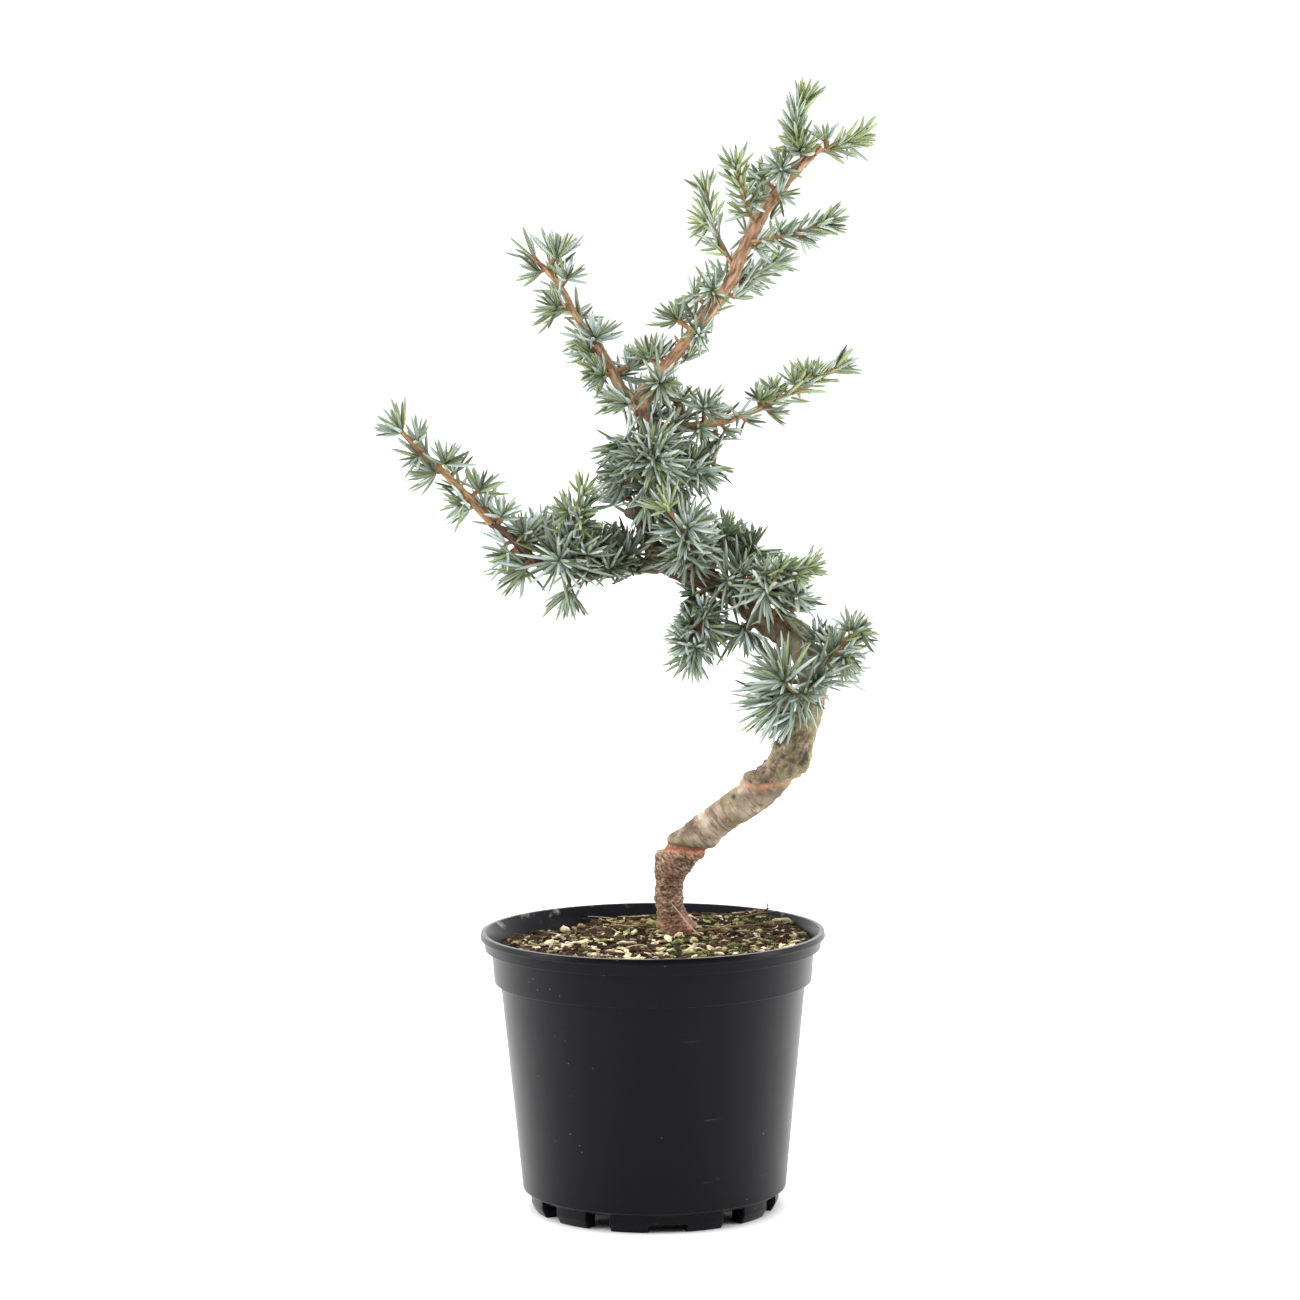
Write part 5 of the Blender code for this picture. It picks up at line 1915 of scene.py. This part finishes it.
    def leader_pegs(self) -> None:
        """Sets leaf scars on the young part of the trunk and on the boughs."""
        for name, limb in self.wood.limbs.items():
            if name == "trunk_stub":
                continue
            start = self.wood.young_from if name == "trunk" else 6
            count = int((limb.length - start) / 1.5)
            for number in range(count):
                mark = start + (limb.length - start) * (number + 0.5) / count
                point, tangent, radius = limb.at(mark)
                aim = aim_at(tangent, math.radians(48), number * GOLDEN_TURN)
                outward = unit(aim - tangent * (aim @ tangent))
                self.pegs.append((point + outward * radius * 0.78, aim, 0.6))

    @staticmethod
    def spur_pattern() -> Pattern:
        """Makes a spur along Z, a unit long and wide.

        Returns:
            The spur, ringed by the scales of old buds.
        """
        rings = ((0, 0.9), (0.12, 1), (0.2, 0.82), (0.34, 1.05), (0.42, 0.86),
                 (0.56, 1.12), (0.64, 0.95), (0.78, 1.18), (0.9, 1), (1, 0.35))
        return Pattern.of(swept(
            [(0, 0, height) for height, _ in rings], [width for _, width in rings], 10))

    @staticmethod
    def peg_pattern() -> Pattern:
        """Makes a leaf peg along Z.

        Returns:
            The peg, a blunt cone a unit wide.
        """
        builder = bmesh.new()
        bmesh.ops.create_cone(builder, cap_ends=True, segments=6, radius1=1, radius2=0.45,
                              depth=2, matrix=Matrix.Translation((0, 0, 0.6)))
        return Pattern.of(builder)

    @staticmethod
    def posed(pattern: Pattern, base: Array, axis: Array, width: float, length: float) -> Array:
        """Sets a copy of a pattern along an axis.

        Args:
            pattern: the pattern.
            base: where it stands.
            axis: where it points.
            width: its width.
            length: its length.

        Returns:
            The copy's corners.
        """
        first, second = across(axis)
        x, y, z = pattern.corners.T
        return (base + first * (x * width)[:, None] + second * (y * width)[:, None]
                + axis * (z * length)[:, None])

    def build(self, scale_bark: Material) -> None:
        """Grows everything and makes the pieces.

        Args:
            scale_bark: the finish of spurs and pegs.
        """
        seed = SEED
        for name, plan in SHOOTS.items():
            seed += 1
            self.shoot(name, plan, seed)
        for carrier, plans in ROSETTES.items():
            for number, plan in enumerate(plans, 1):
                seed += 1
                name = f"{carrier}_needles_{number}"
                self.rosette(name, plan, self.wood.limbs[carrier], seed)
        for carrier, plans in FINER:
            limb = self.shoots.get(carrier) or self.wood.limbs[carrier]
            for plan in plans:
                seed += 1
                self.rosette(self.mass_near(np.array(plan.heart)), plan, limb, seed)
        for owner, plans in RUNS.items():
            limb = self.shoots.get(owner) or self.wood.limbs[owner]
            for plan in plans:
                seed += 1
                self.run(owner, limb, plan, seed)
        self.leader_pegs()
        young = TwigBark("shoot_bark", (0.092, 0.044, 0.018), (0.295, 0.16, 0.068),
                         (0.54, 0.36, 0.19)).make()
        place_piece("shoot_stems", merged(self.stems), (young,), sorted(SHOOTS))
        spur, peg = self.spur_pattern(), self.peg_pattern()
        spurs = [self.posed(spur, base, unit(tip - base), width, float(np.linalg.norm(tip - base)))
                 for base, tip, width in self.spurs]
        place_piece("spurs", joined([(spur, np.array(spurs))]), (scale_bark,))
        pegs = [self.posed(peg, base, aim, width, width) for base, aim, width in self.pegs]
        place_piece("leaf_pegs", joined([(peg, np.array(pegs))]), (scale_bark,))
        self.needles.build(self.owners)


# ---- The pot


@dataclass
class NurseryPot:
    """A two-litre nursery pot: lip, bead, collar, tapered wall and a castellated foot."""

    turns: int = 240
    first_angle: float = -3.0
    rim_radius: float = 84.88
    rim_height: float = 137.7
    lip_depth: float = 2.9
    lip_width: float = 2.8
    bead_radius: float = 83.0
    bead_bottom: float = 129.4
    collar_radius: float = 79.3
    collar_bottom: float = 112.6
    neck_radius: float = 75.0
    shoulder_height: float = 10.4
    shoulder_radius: float = 65.0
    foot_radius: float = 61.4
    foot_taper: float = 2.2
    foot_depth: float = 8.5
    foot_height: float = 8.2
    bridge_height: float = 4.2
    pad_radius: float = 16.0
    wall: float = 1.9
    floor_top: float = 10.4
    foot_turns: int = 12
    pitch_turns: int = 20
    front_gap_turns: int = 12
    edge: float = 0.35

    def outline(self) -> list[Pair]:
        """Lists the turned outline: from the underside up, over the lip and down inside.

        Returns:
            Radius and height of each corner.
        """
        return [
            (0, self.foot_height), (self.pad_radius, self.foot_height),
            (self.foot_radius - self.foot_depth, self.foot_height),
            (self.foot_radius, self.foot_height), (self.shoulder_radius, self.shoulder_height),
            (self.neck_radius, self.collar_bottom),
            (self.collar_radius - 1.2, self.collar_bottom + 0.6),
            (self.collar_radius, self.bead_bottom - 0.4),
            (self.bead_radius - 0.4, self.bead_bottom),
            (self.bead_radius, self.rim_height - self.lip_depth - 0.4),
            (self.rim_radius, self.rim_height - self.lip_depth),
            (self.rim_radius - 0.4, self.rim_height),
            (self.rim_radius - self.lip_width, self.rim_height),
            (self.collar_radius - self.wall, self.bead_bottom + self.wall),
            (self.neck_radius - self.wall, self.collar_bottom),
            (self.shoulder_radius - self.wall, self.floor_top), (0, self.floor_top)]

    def inside(self, height: float) -> float:
        """Returns the inner radius at a height."""
        inner = self.outline()[-2:-5:-1]
        return float(np.interp(height, [row[1] for row in inner], [row[0] for row in inner]))

    def foot_place(self, face: BMFace) -> int:
        """Counts how many turns a face lies from the front gap.

        Args:
            face: the face.

        Returns:
            The count, or -1 inside the gap.
        """
        middle = face.calc_center_median()
        angle = math.atan2(middle.x, -middle.y) - math.radians(self.first_angle)
        turn = int(angle % math.tau / math.tau * self.turns)
        if turn < self.front_gap_turns:
            return -1
        return min(turn - self.front_gap_turns, self.turns - 1 - turn)

    def is_foot(self, face: BMFace) -> bool:
        """Tells whether a face of the underside lies over a foot."""
        place = self.foot_place(face)
        return place >= 0 and place % self.pitch_turns < self.foot_turns

    @staticmethod
    def lower(builder: BMesh, faces: list[BMFace], drop: float) -> list[BMFace]:
        """Extrudes faces of the underside down.

        Args:
            builder: the pot.
            faces: the faces.
            drop: how far.

        Returns:
            The lowered faces.
        """
        grown = bmesh.ops.extrude_face_region(builder, geom=faces)["geom"]
        moved = [item for item in grown if isinstance(item, BMVert)]
        bmesh.ops.delete(builder, geom=faces, context="FACES")
        bmesh.ops.translate(builder, verts=moved, vec=(0, 0, -drop))
        return [item for item in grown if isinstance(item, BMFace)]

    def spin(self) -> BMesh:
        """Turns the outline about the upright axis.

        Returns:
            The shell, before its feet.
        """
        builder = bmesh.new()
        start = math.radians(self.first_angle)
        corners = [
            builder.verts.new((radius * math.sin(start), -radius * math.cos(start), height))
            for radius, height in self.outline()]
        edges = [builder.edges.new(pair) for pair in zip(corners, corners[1:])]
        bmesh.ops.spin(
            builder, geom=corners + edges, cent=(0, 0, 0), axis=(0, 0, 1), angle=math.tau,
            steps=self.turns, use_merge=True)
        bmesh.ops.remove_doubles(builder, verts=builder.verts, dist=0.001)
        bmesh.ops.recalc_face_normals(builder, faces=builder.faces)
        return builder

    def build(self, plastic: Material, inner: Material) -> None:
        """Builds and dresses the pot.

        Args:
            plastic: its finish.
            inner: the finish of the inside, with stains and a lighter base colour that is painted
                light.
        """
        builder = self.spin()
        under = [face for face in builder.faces
                 if all(abs(vertex.co.z - self.foot_height) < 0.01 for vertex in face.verts)]
        pad = [face for face in under
               if max(vertex.co.xy.length for vertex in face.verts) < self.pad_radius + 0.1]
        ring = [face for face in under
                if min(vertex.co.xy.length for vertex in face.verts) > self.pad_radius + 1]
        self.lower(builder, pad, self.foot_height)
        low = [face for face in ring if self.is_foot(face) or self.foot_place(face) < 0]
        lowered = self.lower(builder, low, self.foot_height - self.bridge_height)
        soles = self.lower(
            builder, [face for face in lowered if self.is_foot(face)], self.bridge_height)
        for vertex in {vertex for face in soles for vertex in face.verts}:
            if vertex.co.xy.length > self.foot_radius - 1:
                vertex.co.xy *= 1 - self.foot_taper / self.foot_radius
        bmesh.ops.recalc_face_normals(builder, faces=builder.faces)
        self.soften(builder)
        for face in builder.faces:
            middle = face.calc_center_median()
            inward = face.normal.x * middle.x + face.normal.y * middle.y < 0
            face.material_index = int(inward and middle.z > self.floor_top)
        place_piece("nursery_pot", mesh_of(builder), (plastic, inner), ("pot",))

    def soften(self, builder: BMesh) -> None:
        """Rounds every crease of the pot.

        Args:
            builder: the pot.
        """
        creases = [edge for edge in builder.edges
                   if edge.is_manifold and edge.calc_face_angle() > math.radians(24)]
        bmesh.ops.bevel(
            builder, geom=creases, offset=self.edge, offset_type="OFFSET", segments=3,
            profile=0.5, affect="EDGES", clamp_overlap=True, material=-1)


# ---- The potting mix


@dataclass(frozen=True)
class Lumps:
    """One kind of lump in the mix.

    Some places are tried, and each is used with the chance that `favour` gives it. Sizes are
    radii, the stretch is length over width, and the lift is a share of the radius.
    """

    name: str
    finish: MixedEarth
    tries: int
    sizes: Pair
    stretch: Pair
    lift: float
    favour: Callable[[float, float], float]
    kinds: int = 8


LUMPS: tuple[Lumps, ...] = (
    Lumps("cream_chips", MixedEarth("cream_chip", (0.33, 0.26, 0.115), (0.9, 0.82, 0.58), 300),
          640, (0.5, 2.2), (1.1, 2.6), 0.34, lambda x, y: 0.8 if y < 12 else 0.3),
    Lumps("tan_chips", MixedEarth("tan_chip", (0.11, 0.07, 0.031), (0.33, 0.25, 0.13), 300),
          640, (0.4, 1.8), (1.1, 2.8), 0.25, lambda x, y: 0.55),
    Lumps("mossy_chips", MixedEarth("mossy_chip", (0.1, 0.11, 0.018), (0.4, 0.4, 0.17), 300),
          640, (0.5, 1.8), (1, 2.2), 0.3, lambda x, y: 0.9 if x > 0 else 0.45),
    Lumps("peat_clods", MixedEarth("peat_clod", (0.006, 0.003, 0.002), (0.058, 0.03, 0.015)),
          700, (0.8, 2.6), (1, 1.6), 0.2, lambda x, y: 1, 4),
)


@dataclass
class PottingMix:
    """Peat with grit, wood chips, moss and fibres, uneven under the pot's rim."""

    pot: NurseryPot
    cell: float = 0.8
    skirt: float = 6.0
    seed: int = 77
    jaggedness: float = 0.85
    moss_tufts: int = 420
    fibres: int = 300
    reach: float = field(init=False)
    dice: random.Random = field(init=False)

    def __post_init__(self) -> None:
        """Finds how far out the mix reaches: into the wall's thickness."""
        self.reach = self.pot.inside(131) + 0.9
        self.dice = random.Random(self.seed)

    def height(self, x: float, y: float) -> float:
        """Finds the height of the mix.

        Args:
            x: how far right.
            y: how far back.

        Returns:
            The height there.
        """
        stem_x, stem_y = TRUNK[0][:2]
        away = math.hypot(x - stem_x, y - stem_y)
        seat = max(0, 1 - away / 34)
        base = 131.4 + 0.028 * x + 0.012 * y
        dip = 3.4 * math.exp(-(((x + 40) / 26) ** 2 + ((y - 48) / 20) ** 2))
        mound = 2.6 * math.exp(-(((x - 44) / 26) ** 2 + ((y - 46) / 18) ** 2))
        broad = noise.fractal(Vector((x, y, 0)) * 0.055, 0.9, 2.1, 2) * 1.1
        clumps = noise.fractal(Vector((x, y, 9)) * 0.2, 0.8, 2.1, 3) * 1.25
        return base - dip + mound + seat * 2 + broad + clumps

    def surface(self, peat: Material) -> None:
        """Builds the mix as a closed sheet that ends inside the pot's wall.

        Args:
            peat: its finish.
        """
        builder = bmesh.new()
        steps = int(2 * self.reach / self.cell)
        bmesh.ops.create_grid(builder, x_segments=steps, y_segments=steps, size=self.reach)
        far = [vertex for vertex in builder.verts if vertex.co.xy.length > self.reach]
        bmesh.ops.delete(builder, geom=far, context="VERTS")
        for vertex in builder.verts:
            x, y = vertex.co.xy
            grit = noise.fractal(Vector((x, y, 4)) * 0.75, 0.8, 2.1, 3) * 0.45
            vertex.co.z = self.height(x, y) + grit
        grown = bmesh.ops.extrude_face_region(builder, geom=builder.faces[:])["geom"]
        for item in grown:
            if isinstance(item, BMVert):
                item.co.z = 131 - self.skirt
        bmesh.ops.recalc_face_normals(builder, faces=builder.faces)
        place_piece("peat", mesh_of(builder), (peat,), ("soil",))

    def spot(self, spread: float = 1.0) -> Pair:
        """Picks a random place on the mix, clear of the wall.

        Args:
            spread: how far out it may lie, as a share.

        Returns:
            Its x and y.
        """
        angle = self.dice.uniform(0, math.tau)
        away = (self.reach - 3.5) * math.sqrt(self.dice.random()) * spread
        return away * math.cos(angle), away * math.sin(angle)

    def clear_of_stem(self, x: float, y: float) -> bool:
        """Tells whether a place lies off the foot of the stem."""
        return math.hypot(x - TRUNK[0][0], y - TRUNK[0][1]) > 10.5

    def pebble_patterns(self, kinds: int) -> list[Pattern]:
        """Makes broken, rounded lumps about a unit in radius.

        Args:
            kinds: how many.

        Returns:
            A pattern of each.
        """
        patterns = []
        for kind in range(kinds):
            builder = bmesh.new()
            bmesh.ops.create_icosphere(builder, subdivisions=2, radius=1)
            for vertex in builder.verts:
                shift = noise.noise(vertex.co * 1.1 + Vector((kind * 9, 3, 1)))
                rough = noise.noise(vertex.co * 2.7 + Vector((kind * 5, 8, 2)))
                vertex.co *= 1 + self.jaggedness * shift + 0.35 * self.jaggedness * rough
            patterns.append(Pattern.of(builder))
        return patterns

    def scatter(self, lumps: Lumps) -> None:
        """Scatters lumps over the mix as one piece.

        Args:
            lumps: their kind.
        """
        runs: list[tuple[Pattern, list[Array]]] = [
            (pattern, []) for pattern in self.pebble_patterns(lumps.kinds)]
        low, high = lumps.sizes
        for _ in range(lumps.tries):
            x, y = self.spot()
            if not self.clear_of_stem(x, y) or self.dice.random() > lumps.favour(x, y):
                continue
            radius = low + (high - low) * self.dice.random() ** 2.6
            long = self.dice.uniform(*lumps.stretch)
            flat = self.dice.uniform(0.32, 0.75)
            turn = Matrix.Rotation(self.dice.uniform(0, math.tau), 3, "Z")
            tip = Matrix.Rotation(self.dice.gauss(0, 0.55), 3, "X")
            pattern, copies = runs[self.dice.randrange(len(runs))]
            shape = pattern.corners * (radius * long, radius, radius * flat)
            shape = shape @ np.array(turn @ tip).T
            copies.append(shape + (x, y, self.height(x, y) + radius * lumps.lift))
        mesh = joined((pattern, np.array(copies)) for pattern, copies in runs if copies)
        place_piece(lumps.name, mesh, (lumps.finish.make(),))

    def strand(self, start: Vector, heading: float, climb: float, length: float,
               width: float) -> BMesh:
        """Bends one fibre over the mix.

        Args:
            start: where it starts.
            heading: which way it runs.
            climb: how steeply it rises.
            length: its length.
            width: its radius.

        Returns:
            The fibre.
        """
        points, radii = [], []
        place, count = start.copy(), 7
        bend = self.dice.gauss(0, 0.22)
        for number in range(count):
            points.append(place.copy())
            radii.append(width * (1 - 0.55 * number / count))
            heading += bend + self.dice.gauss(0, 0.08)
            step = length / (count - 1)
            place += Vector((math.cos(heading) * step, math.sin(heading) * step, climb * step))
            if place.xy.length > self.reach - 3:
                place.xy *= (self.reach - 3) / place.xy.length
        return swept([point[:] for point in points], radii, 5)

    def fibre_piece(self, name: str, count: int, sizes: tuple[float, float, float],
                    finish: Material) -> None:
        """Scatters fibres as one piece.

        Args:
            name: the piece's name.
            count: how many fibres.
            sizes: least length, greatest length and radius.
            finish: their finish.
        """
        strands = []
        short, long, radius = sizes
        for _ in range(count):
            x, y = self.spot(0.97)
            if not self.clear_of_stem(x, y):
                continue
            start = Vector((x, y, self.height(x, y) + 0.8))
            strands.append(self.strand(
                start, self.dice.uniform(0, math.tau), self.dice.gauss(0.02, 0.1),
                self.dice.uniform(short, long), radius * self.dice.uniform(0.7, 1.4)))
        place_piece(name, merged(strands), (finish,))

    def moss(self, finish: Material) -> None:
        """Scatters tufts of moss, each a cluster of small pointed leaves.

        Args:
            finish: their finish.
        """
        builder = bmesh.new()
        bmesh.ops.create_cone(builder, cap_ends=True, segments=4, radius1=0.42, radius2=0.05,
                              depth=2, matrix=Matrix.Translation((0, 0, 0.8)))
        leaf = Pattern.of(builder)
        copies = []
        for _ in range(self.moss_tufts):
            x, y = self.spot()
            favoured = 0.95 if x > 4 else 0.16
            if not self.clear_of_stem(x, y) or self.dice.random() > favoured:
                continue
            size = self.dice.uniform(1, 3.4)
            for _ in range(int(16 * size)):
                dx, dy = self.dice.gauss(0, size * 0.55), self.dice.gauss(0, size * 0.4)
                aim = unit((self.dice.gauss(0, 0.6), self.dice.gauss(0, 0.6), 1))
                spot = np.array((x + dx, y + dy, self.height(x + dx, y + dy) + 0.2))
                if math.hypot(spot[0], spot[1]) > self.reach - 2.5:
                    continue
                width = self.dice.uniform(0.25, 0.5)
                copies.append(Foliage.posed(leaf, spot, aim, width, width * 1.7))
        place_piece("moss", joined([(leaf, np.array(copies))]), (finish,))

    def build(self) -> None:
        """Builds and dresses everything in the pot."""
        self.surface(MixedEarth(
            "peat", (0.003, 0.002, 0.001), (0.03, 0.015, 0.008), 380, 0.9).make())
        for lumps in LUMPS:
            self.scatter(lumps)
        stalk = PlainBit("pale_stalk", (0.42, 0.33, 0.21), 0.7).make()
        root = PlainBit("brown_fibre", (0.125, 0.062, 0.028), 0.75).make()
        self.moss(PlainBit("moss_leaf", (0.07, 0.13, 0.014), 0.7).make())
        self.fibre_piece("brown_fibres", self.fibres, (6, 22, 0.22), root)
        self.fibre_piece("pale_stalks", self.fibres // 3, (5, 17, 0.4), stalk)
        self.litter(stalk, root)

    def litter(self, stalk: Material, bark: Material) -> None:
        """Lays the long straw on the foot of the stem, and broken twigs by the rim.

        Args:
            stalk: the straw's finish.
            bark: the twigs' finish.
        """
        straw = swept(
            [(9, 10.6, 149.5), (12, 9.3, 146), (16.5, 7, 140.5), (21, 4, 136),
             (24.5, 1.5, 133.2), (27.5, -1, 132.4)],
            [0.16, 0.24, 0.3, 0.32, 0.3, 0.22], 7)
        place_piece("straw", merged([straw]), (stalk,))
        twigs = [swept(points, radii, sides) for points, radii, sides in (
            ([(30, 40, 134.5), (41, 44, 135.6), (52, 50, 136.6), (59, 52, 139.8)],
             [0.8, 0.75, 0.6, 0.35], 8),
            ([(46, 47.2, 136), (54, 46, 138), (63, 44, 139.4)],
             [0.5, 0.42, 0.2], 8),
            ([(57.5, 51, 138.4), (58, 50, 141.8), (58.6, 50, 144.2)],
             [0.35, 0.28, 0.15], 7),
            ([(20, 12, 134.6), (32, 15, 135.4), (45, 21, 136.2)],
             [0.9, 0.8, 0.5], 8),
            ([(-18, 32, 133.6), (-8, 29, 134.6), (3, 27, 135.8)],
             [0.35, 0.4, 0.3], 7))]
        place_piece("twig_litter", merged(twigs), (bark,))


# ---- The studio


@dataclass
class Studio:
    """A white floor, soft lights and the camera."""

    camera_x: float = -0.00042
    camera_distance: float = 2.0
    camera_height: float = 0.4752
    camera_pitch: float = 0.0992
    camera_roll: float = -0.0068
    focal_px: float = 4111.0
    floor_half: float = 9.0
    wall: float = 0.62
    backdrop: float = 2.35
    dim: float = 0.08
    dim_from: float = -0.95
    dim_to: float = -0.25
    backdrop_from: float = -0.1
    backdrop_to: float = 0.35
    shown_level: float = 1.05

    def floor(self) -> None:
        """Lays a flat floor that reaches far off."""
        builder = bmesh.new()
        bmesh.ops.create_grid(builder, x_segments=8, y_segments=8, size=self.floor_half)
        mesh = mesh_of(builder, 1)
        mesh.materials.append(StudioWhite().make())
        ground = bpy.data.objects.new("floor", mesh)
        bpy.context.scene.collection.objects.link(ground)
        ground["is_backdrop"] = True

    @staticmethod
    def hang(light: Light, place: Place, target: Place) -> None:
        """Hangs a light that shines from a place towards a target.

        Args:
            light: the light.
            place: where it hangs.
            target: where it shines.
        """
        holder = bpy.data.objects.new(light.name, light)
        holder.location = place
        holder.rotation_mode = "QUATERNION"
        holder.rotation_quaternion = (Vector(target) - Vector(place)).to_track_quat("-Z", "Y")
        bpy.context.scene.collection.objects.link(holder)

    def softbox(self, name: str, place: Place, size: Pair, watts: float) -> None:
        """Hangs a soft area light that faces the plant.

        Args:
            name: its name.
            place: where it hangs.
            size: its width and height.
            watts: its power.
        """
        light = bpy.data.lights.new(name, "AREA")
        light.shape = "RECTANGLE"
        light.size, light.size_y = size
        light.energy = watts
        self.hang(light, place, (0, 0, 0.25))

    def sky(self) -> None:
        """Makes the surroundings: white walls, dimmer on the side of the open studio."""
        world = bpy.data.worlds.new("studio")
        world.use_nodes = True
        sheet = NodeSheet(world.node_tree)
        heading = sheet.add("ShaderNodeTexCoord", output="Generated")
        side = sheet.add("ShaderNodeSeparateXYZ", None, {0: heading}, "Y")
        fades = [
            sheet.add("ShaderNodeMapRange", {"interpolation_type": "SMOOTHSTEP"}, {
                "Value": side, "From Min": start, "From Max": end, "To Min": low, "To Max": high})
            for start, end, low, high in (
                (self.dim_from, self.dim_to, self.dim, self.wall),
                (self.backdrop_from, self.backdrop_to, 0, self.backdrop - self.wall))]
        lit, shown = (
            sheet.add("ShaderNodeBackground", None, {"Color": (1, 1, 1), "Strength": level})
            for level in (fades[0] + fades[1], self.shown_level))
        seen = sheet.add("ShaderNodeLightPath", output="Is Camera Ray")
        choice = sheet.add("ShaderNodeMixShader", None, {0: seen, 1: lit, 2: shown})
        sheet.feed(sheet.tree.nodes["World Output"].inputs["Surface"], choice)
        bpy.context.scene.world = world

    def camera(self) -> None:
        """Sets the camera up."""
        lens = bpy.data.cameras.new("camera")
        lens.sensor_width = SENSOR_MM
        lens.lens = self.focal_px / IMAGE_SIDE * SENSOR_MM
        holder = bpy.data.objects.new("camera", lens)
        place = Matrix.Translation((self.camera_x, -self.camera_distance, self.camera_height))
        tilt = Matrix.Rotation(math.pi / 2 - self.camera_pitch, 4, "X")
        roll = Matrix.Rotation(self.camera_roll, 4, "Z")
        holder.matrix_world = place @ tilt @ roll
        lens.clip_start, lens.clip_end = 0.05, 50
        bpy.context.scene.collection.objects.link(holder)
        bpy.context.scene.camera = holder

    def build(self) -> None:
        """Sets up floor, lights, surroundings and camera."""
        self.floor()
        self.sky()
        self.camera()
        self.softbox("left_box", (-1.6, -0.4, 0.6), (0.7, 1.6), 26)
        self.softbox("right_box", (1.7, -0.3, 0.6), (0.6, 1.6), 24)
        overhead = bpy.data.lights.new("overhead", "SUN")
        overhead.energy, overhead.angle = 2.25, math.radians(64)
        self.hang(overhead, (-0.16, -0.5, 1), (0, 0, 0))
        bpy.context.scene.view_settings.view_transform = "Standard"


def corners() -> list[list[float]]:
    """Returns the shown object's lowest and highest corners as plain lists."""
    return [list(corner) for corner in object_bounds()]


def main() -> None:
    """Builds every piece in order."""
    logging.basicConfig(level=logging.INFO, format="%(message)s", stream=sys.stdout)
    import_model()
    solid_box = corners()
    studio = Studio()
    studio.build()
    pot = NurseryPot()
    # The inside is the same plastic with stains; its lighter base colour is painted light on the
    # inner wall.
    pot.build(PotPlastic("pot_black").make(), PotPlastic(
        "pot_inside_stains_and_painted_light", (0.0065, 0.0068, 0.0082), stain=0.8, shine=0.15).make())
    PottingMix(pot).build()
    wood = TrunkAndBoughs()
    twig = TwigBark("young_bark").make()
    wood.build(TrunkBark().make(), {
        # The left bough's bark is darker than the other boughs' bark, as painted shade under the
        # crown.
        "left_bough": TwigBark("bough_bark", (0.018, 0.009, 0.006), (0.078, 0.038, 0.023),
                               (0.21, 0.12, 0.072)).make(),
        "upper_left_bough": twig, "right_bough": twig,
        "trunk_stub": TwigBark(
            "dead_wood", (0.034, 0.024, 0.015), (0.125, 0.092, 0.06), (0.25, 0.19, 0.13)).make()})
    foliage = Foliage(wood)
    low, high = (np.array(corner) / MM for corner in solid_box)
    foliage.needles.low, foliage.needles.high = low + 0.4, high - 0.4
    foliage.build(TwigBark(
        "bud_scales", (0.07, 0.03, 0.012), (0.25, 0.12, 0.048), (0.44, 0.25, 0.11)).make())


if __name__ == "__main__":
    main()
